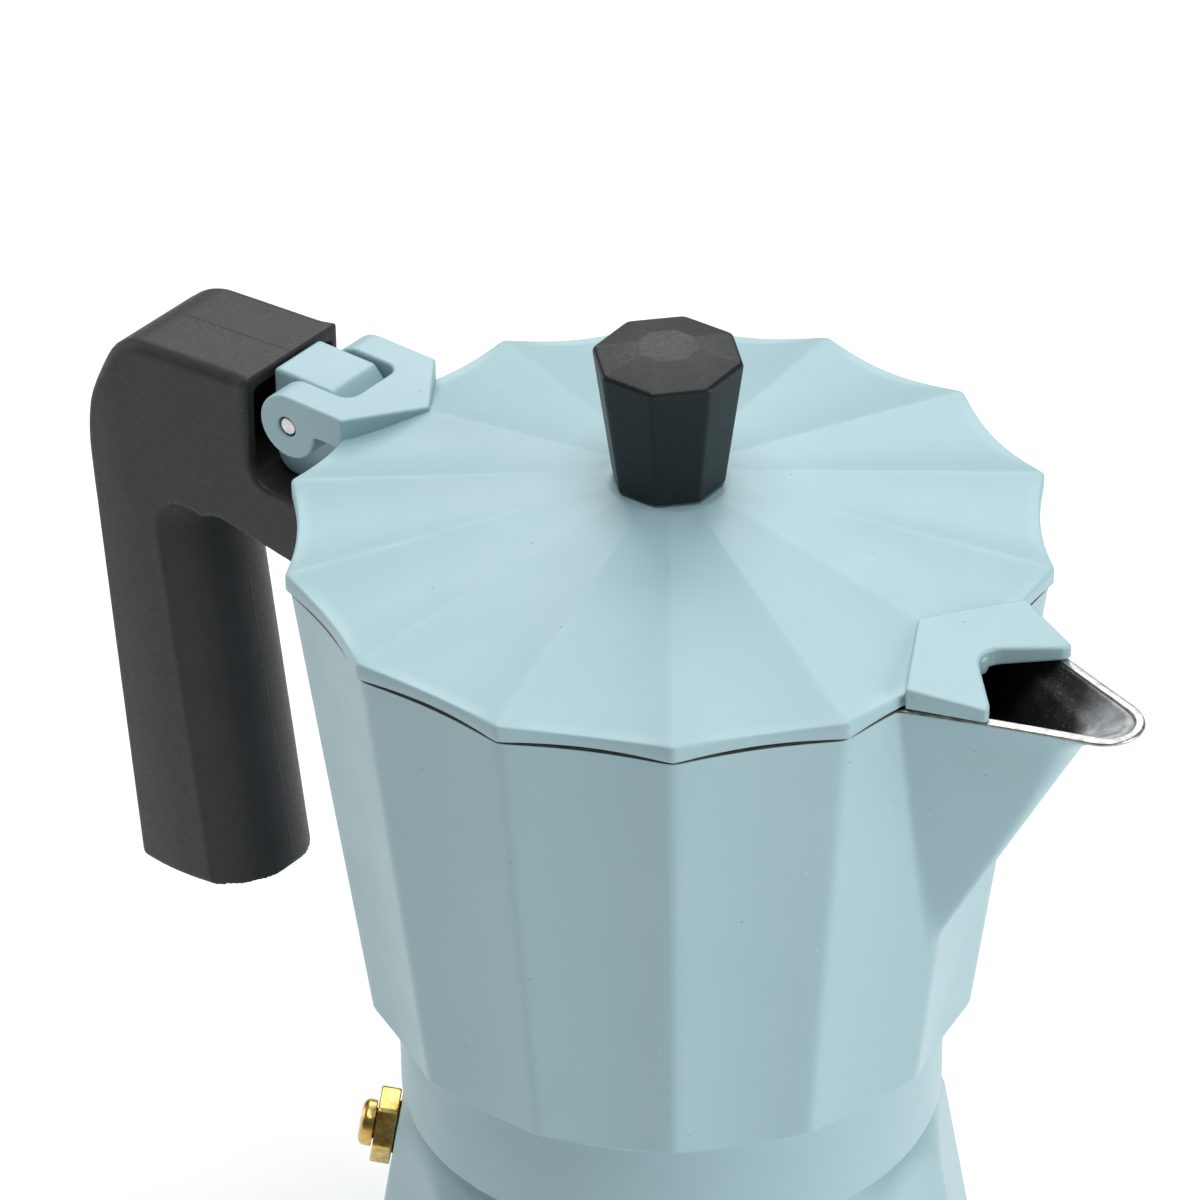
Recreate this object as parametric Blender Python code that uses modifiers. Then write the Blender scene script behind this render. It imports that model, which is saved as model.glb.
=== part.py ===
"""A six-cup stovetop moka pot: a fluted boiler and a fluted pouring chamber that screw together round a
funnel, a gasket and a filter plate, with a hinged lid, a hollow handle and a spring-loaded safety valve.

The frame is +Z up with its origin at the middle of the flat base. The spout points along +X and the
handle along -X. All sizes below are in metres.
"""

from math import atan, cos, degrees, pi, radians, sin, tau

import bmesh
import bpy
from mathutils import Matrix, Vector

MM = 0.001
GAP = 0.3 * MM  # left between pieces that touch

# Fluting, shared by the boiler, the pouring chamber and the lid
FLUTES = 14
FLUTE_STEPS = 4  # straight steps across one flute
TURN_STEPS = 48  # sides of a turned piece
FINE_STEPS = 24  # sides of a small turned piece

# Boiler
BOILER_HEIGHT = 79.4 * MM  # base to the seat under the pouring chamber
BOILER_BASE_R = 53.0 * MM  # to the ridges
BOILER_TOP_R = 39.6 * MM  # to the ridges, where they would meet the seat
BOILER_SEAT_LEDGE = 0.8 * MM  # flat between the neck and the round shoulder
BOILER_SHOULDER_SLOPE = 0.62  # how fast the round shoulder widens downwards
BOILER_SAG = 0.2 * MM  # depth of a flute below the straight line between its ridges
BOILER_WALL = 3.0 * MM
BOILER_FLOOR = 3.5 * MM
BOILER_TURN = radians(-4.7)  # where the thread pulls up tight
BASE_BEVEL = 1.2 * MM

# Threaded neck and the skirt round it
NECK_R = 35.8 * MM
NECK_WALL = 3.4 * MM
NECK_HEIGHT = 8.1 * MM
NECK_BEVEL = 0.5 * MM
THREAD_CLEARANCE = 0.5 * MM

# Funnel with its basket
BASKET_DEPTH = 26.0 * MM
BASKET_CLEARANCE = 0.7 * MM
CONE_DEPTH = 12.0 * MM
TUBE_R = 3.8 * MM
TUBE_FOOT_GAP = 6.0 * MM  # tube's end above the boiler's floor
FUNNEL_WALL = 1.0 * MM
FUNNEL_FLANGE = 1.0 * MM
FLANGE_INSET = 0.6 * MM  # flange's edge inside the neck's

# Gasket and filter plates
GASKET_THICKNESS = 3.0 * MM
GASKET_WIDTH = 8.0 * MM
GASKET_ROUND = 0.4 * MM
PLATE_THICKNESS = 0.8 * MM
PLATE_DISH = 1.8 * MM
DISH_CLEARANCE = 1.0 * MM  # dish inside the gasket's bore
PLATE_INSET = 0.4 * MM  # plate's edge inside the gasket's
HOLE_R = 0.9 * MM
HOLE_PITCH = 8.0 * MM
HOLE_RINGS = 3
STRAINER_HOLE_R = 0.9 * MM

# Pouring chamber
CHAMBER_HEIGHT = 92.3 * MM  # waist's lower edge to the rim
RIM_R = 53.4 * MM  # to the ridges
FOOT_R = 44.0 * MM  # to the ridges, where the chamfer begins
CHAMFER_TOP = 19.3 * MM  # above the waist's lower edge
WAIST_HEIGHT = 16.2 * MM
WAIST_WALL = 3.1 * MM
CHAMBER_SAG = 0.9 * MM
CHAMBER_WALL = 2.6 * MM
CHAMBER_FLOOR = 3.4 * MM
FLOOR_BEVEL = 1.0 * MM
SKIRT_CEILING_GAP = 0.3 * MM
COLUMN_FOOT_R = 8.0 * MM
COLUMN_TOP_R = 5.6 * MM
COLUMN_BORE_R = 2.8 * MM
COLUMN_HEIGHT = 62.0 * MM
COLUMN_SLOT = 5.0 * MM

# Spout
SPOUT_TIP_X = 76.4 * MM
SPOUT_NOSE_R = 5.6 * MM
SPOUT_ROOT_X = 50.3 * MM
SPOUT_ROOT_HALF = 13.4 * MM
SPOUT_DEPTH = 47.7 * MM  # rim to the foot of the keel
SPOUT_FOOT_X = 46.6 * MM
SPOUT_KNEE_X = 69.0 * MM  # where the straight keel ends
SPOUT_KNEE_DEPTH = 6.0 * MM
SPOUT_RISE = 1.1 * MM  # tip above the rim
SPOUT_KEEL_R = 1.2 * MM
SPOUT_WALL = 2.2 * MM
SPOUT_GROOVE_R = 0.4 * MM  # least radius along the inside of the keel
SPOUT_SUNK = 3.5 * MM  # how far its sides run on inside the chamber's wall

# Lid
LID_R = 54.0 * MM  # to the cusps
LID_SAG = 1.3 * MM
LID_EDGE = 2.7 * MM
LID_APEX = 8.7 * MM  # height at which the flutes would meet on the axis
LID_WALL = 2.4 * MM
LID_SEAT_WIDTH = 7.0 * MM  # flat band under the lid that rests on the rim
LID_SEAT_STEP = 0.2 * MM
KNOB_LAND = 0.6 * MM  # flat on the lid's top round the knob's foot
BEAK_APEX_X = 42.5 * MM
BEAK_HEIGHT = 1.8 * MM  # top of the beak plate at its apex, above the lid's edge
BEAK_SLOPE = -0.11
BEAK_UNDER = 0.35 * MM  # beak plate's underside above the lid's seat
BEAK_ROOT = (50.5 * MM, 13.7 * MM)
BEAK_HORN = (61.2 * MM, 9.8 * MM)
BEAK_NOTCH_HALF = 2.6 * MM
BEAK_NOTCH_X = 54.2 * MM
BEAK_NOTCH_R = 2.2 * MM
HORN_INNER = (60.6 * MM, 8.4 * MM)

# Hinge
PIN_X = -60.6 * MM
PIN_DROP = 2.65 * MM  # pin's axis below the lid's edge
PIN_R = 1.3 * MM
PIN_RECESS = 0.2 * MM  # pin's ends inside the ears' faces
EAR_R = 5.0 * MM
FORK_HALF = 10.5 * MM
FORK_CORNER_X = -50.4 * MM
FORK_APEX_X = -42.8 * MM
FORK_UNDER = 0.1 * MM  # fork's underside above the lid's seat
LUG_HALF = 4.9 * MM
LUG_CLEARANCE = 0.5 * MM
LUG_FOOT_R = 3.2 * MM
LUG_SUNK = 1.5 * MM  # how far it runs into the chamber's wall
LUG_SLOT_GAP = 1.5 * MM  # between its nose and the slot's end
LUG_NOSE = 1.8 * MM
SLOT_END_X = -53.0 * MM
LUG_END_X = -67.7 * MM
LUG_TOP_DROP = 0.4 * MM  # lug's top below the fork's

# Handle
HANDLE_HALF = 10.3 * MM
HANDLE_MOUTH_X = -68.4 * MM
HANDLE_BACK_X = -100.2 * MM
HANDLE_CROWN_X = -86.0 * MM
HANDLE_CROWN_DROP = 16.0 * MM
HANDLE_CROWN_RISE = 0.2 * MM  # crown above the lid's edge
HANDLE_CROWN_FLATTEN = 0.94
HANDLE_MOUTH_RISE = 1.9 * MM  # mouth's top above the lid's edge
HANDLE_CORNER_R = 3.5 * MM
HANDLE_SCREW_SUNK = 6.0 * MM  # screw's head seat below the arm's top
GRIP_FOOT_BACK_X = -94.6 * MM
GRIP_FOOT_FRONT_X = -73.0 * MM
GRIP_ARCH_X = -80.6 * MM
GRIP_BACK_LENGTH = 93.8 * MM  # lid's edge to the grip's foot, on its outer side
GRIP_FRONT_LENGTH = 91.0 * MM  # the same, on its inner side
ARM_FLOOR_DROP = 23.6 * MM
ARM_ROOT_DROP = 30.0 * MM
ARCH_R = 5.0 * MM
HANDLE_BEVEL = 2.6 * MM
CAVITY_WALL = 1.8 * MM
CAVITY_FLOOR_DROP = 15.3 * MM
CAVITY_DEPTH = 12.0 * MM
ARM_CHAMBER_GAP = 0.4 * MM
HANDLE_SCREW_X = -61.5 * MM

# Knob
KNOB_SIDES = 8
KNOB_TOP_R = 10.7 * MM
KNOB_FOOT_R = 8.0 * MM
KNOB_HEIGHT = 19.6 * MM
KNOB_CROWN = 1.6 * MM
KNOB_CROWN_R = 3.4 * MM
KNOB_TURN = radians(25.6)

# Screws
SCREW_R = 1.8 * MM
SCREW_HEAD_R = 3.0 * MM
SCREW_HEAD = 2.2 * MM
SCREW_SLOT = 0.8 * MM
KNOB_SCREW_REACH = 11.0 * MM
HANDLE_SCREW_REACH = 6.0 * MM
WASHER_R = 4.6 * MM
WASHER_THICKNESS = 0.8 * MM

# Safety valve
VALVE_HEIGHT = 66.7 * MM
HEX_R = 6.0 * MM  # to the corners
HEX_LENGTH = 3.8 * MM
VALVE_STEM_R = 3.9 * MM
VALVE_STEM_LENGTH = 7.0 * MM
VALVE_BORE_R = 2.6 * MM
VALVE_SEAT_R = 1.4 * MM
VALVE_SEAT = 1.2 * MM
CAP_R = 3.5 * MM
CAP_LENGTH = 2.3 * MM
CAP_BEVEL = 0.4 * MM
CAP_SPIGOT = 1.6 * MM
CAP_HOLE_R = 0.95 * MM
POPPET_R = 2.2 * MM
POPPET_LENGTH = 1.3 * MM
ROD_R = 0.6 * MM
ROD_PROUD = 0.6 * MM
SPRING_R = 1.75 * MM
SPRING_WIRE_R = 0.22 * MM
SPRING_TURNS = 4.5

# Heights worked out from the sizes above
WAIST_Z = BOILER_HEIGHT + GAP
RIM_Z = WAIST_Z + CHAMBER_HEIGHT
LID_SEAT_Z = RIM_Z + GAP
EDGE_Z = LID_SEAT_Z + LID_EDGE
NECK_Z = BOILER_HEIGHT + NECK_HEIGHT
FLANGE_Z = NECK_Z + GAP
GASKET_Z = FLANGE_Z + FUNNEL_FLANGE + GAP
PLATE_Z = GASKET_Z + GASKET_THICKNESS + GAP
CEILING_Z = PLATE_Z + PLATE_THICKNESS + SKIRT_CEILING_GAP
CHAMBER_FLOOR_Z = CEILING_Z + CHAMBER_FLOOR
PIN_Z = EDGE_Z - PIN_DROP
FORK_TOP_Z = PIN_Z + EAR_R
NECK_BORE_R = NECK_R - NECK_WALL
BOILER_SEAT_R = NECK_R + BOILER_SEAT_LEDGE
SKIRT_R = NECK_R + THREAD_CLEARANCE
WAIST_R = SKIRT_R + WAIST_WALL
VALVE_ANGLE = BOILER_TURN - 5.5 * tau / FLUTES  # middle of a flute
BOILER_SLOPE = (BOILER_BASE_R - BOILER_TOP_R) / BOILER_HEIGHT
CHAMBER_SLOPE = (RIM_R - FOOT_R) / (CHAMBER_HEIGHT - CHAMFER_TOP)
CHAMFER_SLOPE = (FOOT_R - WAIST_R) / (CHAMFER_TOP - WAIST_HEIGHT)
FLAT = cos(pi / FLUTES)  # middle of a straight side, as a share of its corners' radius


def boiler_ridge(z):
    """Radius of the boiler's ridges at a height."""
    return BOILER_BASE_R - BOILER_SLOPE * z


def boiler_hollow(z):
    """Radius of the boiler's inside at a height."""
    return boiler_ridge(z) * FLAT - BOILER_SAG - BOILER_WALL


def chamber_ridge(z):
    """Radius of the chamber's ridges at a height."""
    return RIM_R - CHAMBER_SLOPE * (RIM_Z - z)


def chamber_hollow(z):
    """Radius of the chamber's inside at a height."""
    return chamber_ridge(z) * FLAT - CHAMBER_SAG - CHAMBER_WALL


# Scene and materials


def clear_scene():
    for obj in list(bpy.data.objects):
        bpy.data.objects.remove(obj, do_unlink=True)


def new_collection(name):
    made = bpy.data.collections.new(name)
    bpy.context.scene.collection.children.link(made)
    return made


clear_scene()
PARTS = new_collection("moka_pot")
CUTTERS = new_collection("cutters")


def material(name, colour, roughness, metallic=0.0):
    made = bpy.data.materials.new(name)
    made.use_nodes = True
    shader = made.node_tree.nodes["Principled BSDF"]
    shader.inputs["Base Color"].default_value = (*colour, 1.0)
    shader.inputs["Roughness"].default_value = roughness
    shader.inputs["Metallic"].default_value = metallic
    return made


PAINT = material("pale_blue_paint", (0.36, 0.55, 0.60), 0.45)
ALUMINIUM = material("bare_aluminium", (0.72, 0.72, 0.71), 0.38, 1.0)
BLACK = material("black_plastic", (0.028, 0.028, 0.030), 0.5)
BRASS = material("brass", (0.62, 0.42, 0.13), 0.3, 1.0)
STEEL = material("stainless_steel", (0.60, 0.60, 0.60), 0.3, 1.0)
SILICONE = material("white_silicone", (0.80, 0.79, 0.75), 0.6)


# Shapes


def store(name, mesh, collection=CUTTERS, matrix=None):
    """An object of a mesh. One in the cutters' collection is a helper, which isn't rendered."""
    obj = bpy.data.objects.new(name, mesh)
    collection.objects.link(obj)
    if matrix is not None:
        obj.matrix_world = matrix
    if collection is CUTTERS:
        obj.hide_render = True
        obj.display_type = "WIRE"
    return obj


def part(name, helper, finish, smooth=35.0):
    """Turns a helper into one of the pot's pieces."""
    CUTTERS.objects.unlink(helper)
    PARTS.objects.link(helper)
    helper.name = name
    helper.hide_render = False
    helper.display_type = "TEXTURED"
    helper.data.materials.clear()
    helper.data.materials.append(finish)
    helper.data.shade_smooth()
    helper.data.set_sharp_from_angle(angle=radians(smooth))
    return helper


def turned(name, profile, closed=False, steps=TURN_STEPS, matrix=None):
    """A profile of (radius, height) turned about Z. It runs down its outer side. An open one starts and
    ends on the axis, and a closed one is a ring."""
    count = len(profile)
    edges = [(i, i + 1) for i in range(count - 1)]
    if closed:
        edges.append((count - 1, 0))
    mesh = bpy.data.meshes.new(name)
    mesh.from_pydata([(r, 0.0, z) for r, z in profile], edges, [])
    obj = store(name, mesh, matrix=matrix)
    screw = obj.modifiers.new("turn", "SCREW")
    screw.steps = steps
    screw.render_steps = steps
    screw.use_merge_vertices = True
    screw.merge_threshold = 0.00001
    return obj


def cylinder(name, radius, low, high, steps=FINE_STEPS, matrix=None, axis_turn=None):
    """A plain cylinder along its own Z axis, from low to high."""
    mesh = bpy.data.meshes.new(name)
    shape = bmesh.new()
    middle = Matrix.Translation((0, 0, (low + high) / 2))
    if axis_turn is not None:
        middle = axis_turn @ middle
    bmesh.ops.create_cone(
        shape, cap_ends=True, segments=steps, radius1=radius, radius2=radius, depth=high - low, matrix=middle
    )
    shape.to_mesh(mesh)
    shape.free()
    return store(name, mesh, matrix=matrix)


def box(name, low, high):
    mesh = bpy.data.meshes.new(name)
    shape = bmesh.new()
    size = Vector(high) - Vector(low)
    place = Matrix.Translation((Vector(low) + Vector(high)) / 2) @ Matrix.Diagonal((*size, 1.0))
    bmesh.ops.create_cube(shape, size=1.0, matrix=place)
    shape.to_mesh(mesh)
    shape.free()
    return store(name, mesh)


def loft(name, rings):
    """A solid through rings of points, listed from the lowest up, each running anticlockwise."""
    count = len(rings[0])
    points = [point for ring in rings for point in ring]
    faces = [tuple(range(count))[::-1]]
    for level in range(len(rings) - 1):
        low, high = level * count, (level + 1) * count
        for i in range(count):
            j = (i + 1) % count
            faces.append((low + i, low + j, high + j, high + i))
    faces.append(tuple(range(len(points) - count, len(points))))
    mesh = bpy.data.meshes.new(name)
    mesh.from_pydata(points, [], faces)
    return store(name, mesh)


def plate(name, outline, low, high, upright=False):
    """A flat outline in X and Y given a thickness from low to high. An upright one has its outline in X
    and Z and its thickness along Y."""
    curve = bpy.data.curves.new(name, "CURVE")
    curve.dimensions = "2D"
    curve.fill_mode = "BOTH"
    curve.extrude = (high - low) / 2
    spline = curve.splines.new("POLY")
    spline.points.add(len(outline) - 1)
    for point, (x, y) in zip(spline.points, outline):
        point.co = (x, y, 0.0, 1.0)
    spline.use_cyclic_u = True
    guide = store(name + "_outline", curve)
    mesh = bpy.data.meshes.new_from_object(guide.evaluated_get(bpy.context.evaluated_depsgraph_get()))
    bpy.data.objects.remove(guide)
    shape = bmesh.new()
    shape.from_mesh(mesh)
    bmesh.ops.remove_doubles(shape, verts=shape.verts, dist=0.000001)
    bmesh.ops.translate(shape, verts=shape.verts, vec=(0, 0, (low + high) / 2))
    if upright:
        bmesh.ops.rotate(shape, verts=shape.verts, cent=(0, 0, 0), matrix=Matrix.Rotation(pi / 2, 3, "X"))
    bmesh.ops.recalc_face_normals(shape, faces=shape.faces)
    shape.to_mesh(mesh)
    shape.free()
    return store(name, mesh)


def boolean(operation, target, *others):
    for other in others:
        step = target.modifiers.new(other.name, "BOOLEAN")
        step.operation = operation
        step.object = other
    return target


def cut(target, *others):
    return boolean("DIFFERENCE", target, *others)


def join(target, *others):
    return boolean("UNION", target, *others)


def trim(target, *others):
    return boolean("INTERSECT", target, *others)


def arc(centre, radius, start, end, steps):
    """Points of an arc, in degrees."""
    x, y = centre
    turns = [radians(start + (end - start) * i / steps) for i in range(steps + 1)]
    return [(x + radius * cos(a), y + radius * sin(a)) for a in turns]


def fluted_ring(ridge, sag, z, turn=0.0, grow=0.0):
    """One level of a fluted solid: shallow hollows between ridges."""
    points = []
    for flute in range(FLUTES):
        start = turn + flute * tau / FLUTES
        end = start + tau / FLUTES
        middle = (start + end) / 2
        for step in range(FLUTE_STEPS):
            t = step / FLUTE_STEPS
            dip = sag * 4 * t * (1 - t) - grow
            x = ridge * (cos(start) * (1 - t) + cos(end) * t) - dip * cos(middle)
            y = ridge * (sin(start) * (1 - t) + sin(end) * t) - dip * sin(middle)
            points.append((x, y, z))
    return points


def hole_pattern(name, radius, low, high):
    """Small holes in rings, six more in each ring than in the last."""
    mesh = bpy.data.meshes.new(name)
    shape = bmesh.new()
    for ring in range(HOLE_RINGS + 1):
        for hole in range(max(1, 6 * ring)):
            angle = tau * hole / max(1, 6 * ring)
            centre = (ring * HOLE_PITCH * cos(angle), ring * HOLE_PITCH * sin(angle), (low + high) / 2)
            bmesh.ops.create_cone(
                shape, cap_ends=True, segments=6, radius1=radius, radius2=radius, depth=high - low,
                matrix=Matrix.Translation(centre),
            )
    shape.to_mesh(mesh)
    shape.free()
    return store(name, mesh)


# Boiler


def make_boiler():
    past = 2 * MM
    body = loft(
        "boiler_flutes",
        [
            fluted_ring(boiler_ridge(0) - BASE_BEVEL, BOILER_SAG, 0.0, BOILER_TURN),
            fluted_ring(boiler_ridge(BASE_BEVEL), BOILER_SAG, BASE_BEVEL, BOILER_TURN),
            fluted_ring(boiler_ridge(BOILER_HEIGHT + past), BOILER_SAG, BOILER_HEIGHT + past, BOILER_TURN),
        ],
    )
    widest = BOILER_BASE_R + past
    shoulder_foot = BOILER_HEIGHT - (widest - BOILER_SEAT_R) / BOILER_SHOULDER_SLOPE
    shoulder = turned(
        "boiler_shoulder",
        [
            (0, BOILER_HEIGHT),
            (BOILER_SEAT_R, BOILER_HEIGHT),
            (widest, shoulder_foot),
            (widest, -past),
            (0, -past),
        ],
        steps=2 * TURN_STEPS,
    )
    neck = turned(
        "boiler_neck",
        [
            (0, NECK_Z),
            (NECK_R - NECK_BEVEL, NECK_Z),
            (NECK_R, NECK_Z - NECK_BEVEL),
            (NECK_R, BOILER_HEIGHT - past),
            (0, BOILER_HEIGHT - past),
        ],
    )
    hollow_top = BOILER_HEIGHT - BOILER_FLOOR
    hollow_shoulder = hollow_top - (boiler_hollow(hollow_top) - NECK_BORE_R) * 1.5
    hollow = turned(
        "boiler_hollow",
        [
            (0, NECK_Z + past),
            (NECK_BORE_R, NECK_Z + past),
            (NECK_BORE_R, hollow_top),
            (boiler_hollow(hollow_shoulder), hollow_shoulder),
            (boiler_hollow(BOILER_FLOOR), BOILER_FLOOR),
            (0, BOILER_FLOOR),
        ],
    )
    hole = cylinder(
        "valve_hole", VALVE_STEM_R + GAP, -VALVE_STEM_LENGTH - past, 2 * past, matrix=valve_frame()
    )
    part("boiler", cut(join(trim(body, shoulder), neck), hollow, hole), PAINT)


# Safety valve, along the wall's outward normal


def valve_frame():
    """Its Z axis points straight out of the boiler's wall, from the wall's face."""
    radius = boiler_ridge(VALVE_HEIGHT) * FLAT - BOILER_SAG
    tilt = pi / 2 - BOILER_SLOPE
    return (
        Matrix.Rotation(VALVE_ANGLE, 4, "Z")
        @ Matrix.Translation((radius, 0, VALVE_HEIGHT))
        @ Matrix.Rotation(tilt, 4, "Y")
    )


def make_valve():
    frame = valve_frame()
    past = 1 * MM
    seat_top = -VALVE_STEM_LENGTH + VALVE_SEAT
    body = cylinder("valve_hex", HEX_R, GAP, HEX_LENGTH, steps=6, matrix=frame)
    stem = cylinder("valve_stem", VALVE_STEM_R, -VALVE_STEM_LENGTH, 2 * GAP, matrix=frame)
    bore = cylinder("valve_bore", VALVE_BORE_R, seat_top, HEX_LENGTH + past, matrix=frame)
    seat = cylinder("valve_seat_hole", VALVE_SEAT_R, -VALVE_STEM_LENGTH - past, seat_top + past, matrix=frame)
    part("valve_body", cut(join(body, stem), bore, seat), BRASS)

    cap_foot = HEX_LENGTH + GAP
    spigot_foot = HEX_LENGTH - CAP_SPIGOT
    cap = turned(
        "cap",
        [
            (CAP_R - CAP_BEVEL, cap_foot + CAP_LENGTH),
            (CAP_R, cap_foot + CAP_LENGTH - CAP_BEVEL),
            (CAP_R, cap_foot),
            (VALVE_BORE_R - GAP, cap_foot),
            (VALVE_BORE_R - GAP, spigot_foot),
            (CAP_HOLE_R, spigot_foot),
            (CAP_HOLE_R, cap_foot + CAP_LENGTH),
        ],
        closed=True,
        steps=FINE_STEPS,
        matrix=frame,
    )
    part("valve_cap", cap, BRASS)

    poppet_foot = seat_top + GAP
    poppet_top = poppet_foot + POPPET_LENGTH
    rod_end = cap_foot + CAP_LENGTH + ROD_PROUD
    poppet = turned(
        "poppet",
        [
            (0, rod_end),
            (ROD_R, rod_end),
            (ROD_R, poppet_top),
            (POPPET_R, poppet_top),
            (POPPET_R, poppet_foot),
            (0, poppet_foot),
        ],
        steps=FINE_STEPS,
        matrix=frame,
    )
    part("valve_pin", poppet, STEEL)
    make_spring("valve_spring", poppet_top + GAP, spigot_foot - GAP, frame)


def make_spring(name, low, high, matrix):
    curve = bpy.data.curves.new(name, "CURVE")
    curve.dimensions = "3D"
    curve.bevel_depth = SPRING_WIRE_R
    curve.bevel_resolution = 1
    curve.use_fill_caps = True
    spline = curve.splines.new("POLY")
    steps = round(SPRING_TURNS * 10)
    spline.points.add(steps)
    low, high = low + SPRING_WIRE_R, high - SPRING_WIRE_R
    for i, point in enumerate(spline.points):
        angle = SPRING_TURNS * tau * i / steps
        point.co = (
            (SPRING_R - SPRING_WIRE_R) * cos(angle),
            (SPRING_R - SPRING_WIRE_R) * sin(angle),
            low + (high - low) * i / steps,
            1.0,
        )
    curve.materials.append(STEEL)
    obj = bpy.data.objects.new(name, curve)
    PARTS.objects.link(obj)
    obj.matrix_world = matrix


# Funnel, gasket and filter plates


def make_funnel():
    outer = NECK_BORE_R - BASKET_CLEARANCE
    inner = outer - FUNNEL_WALL
    top = FLANGE_Z + FUNNEL_FLANGE
    basket_foot = top - BASKET_DEPTH
    cone_foot = basket_foot - CONE_DEPTH
    tube_foot = BOILER_FLOOR + TUBE_FOOT_GAP
    tube_inner = TUBE_R - FUNNEL_WALL
    funnel = turned(
        "funnel_profile",
        [
            (NECK_R - FLANGE_INSET, top),
            (NECK_R - FLANGE_INSET, FLANGE_Z),
            (outer, FLANGE_Z),
            (outer, basket_foot),
            (TUBE_R, cone_foot),
            (TUBE_R, tube_foot),
            (tube_inner, tube_foot),
            (tube_inner, cone_foot + FUNNEL_WALL / 2),
            (inner, basket_foot + FUNNEL_WALL / 2),
            (inner, top),
        ],
        closed=True,
    )
    part("funnel", funnel, ALUMINIUM)

    low = basket_foot + FUNNEL_WALL + GAP
    high = low + PLATE_THICKNESS
    disc = cylinder("strainer_disc", inner - GAP, low, high, steps=TURN_STEPS)
    holes = hole_pattern("strainer_holes", STRAINER_HOLE_R, low - MM, high + MM)
    part("funnel_strainer", cut(disc, holes), ALUMINIUM)


def make_seal():
    outer = SKIRT_R - THREAD_CLEARANCE
    inner = outer - GASKET_WIDTH
    top = GASKET_Z + GASKET_THICKNESS
    gasket = turned(
        "gasket_profile",
        [
            (outer - GASKET_ROUND, top),
            (outer, top - GASKET_ROUND),
            (outer, GASKET_Z + GASKET_ROUND),
            (outer - GASKET_ROUND, GASKET_Z),
            (inner + GASKET_ROUND, GASKET_Z),
            (inner, GASKET_Z + GASKET_ROUND),
            (inner, top - GASKET_ROUND),
            (inner + GASKET_ROUND, top),
        ],
        closed=True,
    )
    part("gasket", gasket, SILICONE)

    dish = inner - DISH_CLEARANCE
    low, high = PLATE_Z, PLATE_Z + PLATE_THICKNESS
    disc = turned(
        "plate_profile",
        [
            (0, high - PLATE_DISH),
            (dish - PLATE_THICKNESS, high - PLATE_DISH),
            (dish, high),
            (outer - PLATE_INSET, high),
            (outer - PLATE_INSET, low),
            (dish, low),
            (dish - PLATE_THICKNESS, low - PLATE_DISH),
            (0, low - PLATE_DISH),
        ],
    )
    holes = hole_pattern("plate_holes", HOLE_R, low - PLATE_DISH - MM, high - PLATE_DISH + MM)
    part("filter_plate", cut(disc, holes), ALUMINIUM)


# Pouring chamber


def spout_section(height, wall=0.0, past=0.0):
    """One level of the spout, at a height from 0 at the keel's foot to 1 at the rim. Straight sides run
    from inside the chamber's wall, through the root on its face, to a round nose. A wall makes the section
    smaller by that much."""
    z = RIM_Z - SPOUT_DEPTH * (1 - height)
    knee = 1 - SPOUT_KNEE_DEPTH / SPOUT_DEPTH
    if height < knee:
        nose_x = SPOUT_FOOT_X + (SPOUT_KNEE_X - SPOUT_FOOT_X) * height / knee
    else:
        lift = (height - knee) / (1 - knee)
        nose_x = SPOUT_KNEE_X + (SPOUT_TIP_X - SPOUT_KNEE_X) * (0.4 * lift + 0.6 * lift * lift)
    radius = SPOUT_KEEL_R + (SPOUT_NOSE_R - SPOUT_KEEL_R) * height**3
    root = SPOUT_KEEL_R + (SPOUT_ROOT_HALF - SPOUT_KEEL_R) * height
    root_x = SPOUT_FOOT_X + (SPOUT_ROOT_X - SPOUT_FOOT_X) * height
    centre = nose_x - radius
    lean = (root - radius) / max(centre - root_x, 4 * MM)
    lean_angle = min(degrees(atan(lean)), 60)
    inner_x = root_x - SPOUT_SUNK
    radius = max(radius - wall, SPOUT_GROOVE_R)
    centre -= wall * 0.3
    inner = radius + lean * (centre - inner_x)
    turns = [radians(-90 + lean_angle + (180 - 2 * lean_angle) * i / 6) for i in range(7)]
    nose = [(centre + radius * cos(a), radius * sin(a)) for a in turns]
    flat = [(inner_x, -inner), *nose, (inner_x, inner)]
    span = SPOUT_TIP_X - SPOUT_ROOT_X
    rise = SPOUT_RISE if height >= 1 else 0.0
    return [(x, y, z + past + rise * max(0.0, (x - SPOUT_ROOT_X) / span)) for x, y in flat]


def make_spout():
    knee = 1 - SPOUT_KNEE_DEPTH / SPOUT_DEPTH
    levels = [-0.05, 0.0, 0.25, 0.5, 0.72, knee, (knee + 1) / 2, 1.0]
    outside = loft("spout_outside", [spout_section(level) for level in levels])
    levels = [0.3, 0.5, 0.72, knee, (knee + 1) / 2, 1.0]
    rings = [spout_section(level, SPOUT_WALL) for level in levels]
    rings.append(spout_section(1.0, SPOUT_WALL, past=2 * MM))
    inside = loft("spout_inside", rings)
    return outside, inside


def make_lug():
    top = FORK_TOP_Z - LUG_TOP_DROP
    foot = EDGE_Z - CAVITY_FLOOR_DROP + GAP
    sunk = RIM_Z - GAP
    outline = [
        (LUG_END_X, top),
        (LUG_END_X, EDGE_Z - PIN_DROP),
        (LUG_END_X + LUG_FOOT_R / 3, foot + LUG_FOOT_R * 3 / 4),
        (LUG_END_X + LUG_FOOT_R, foot),
        (-chamber_ridge(foot) + LUG_SUNK, foot),
        (-chamber_ridge(sunk) + LUG_SUNK, sunk),
        (SLOT_END_X - LUG_SLOT_GAP, sunk),
        (SLOT_END_X - LUG_SLOT_GAP, top - LUG_NOSE),
        (SLOT_END_X - LUG_SLOT_GAP - LUG_NOSE, top),
    ]
    return plate("lug", outline, -LUG_HALF, LUG_HALF, upright=True)


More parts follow.
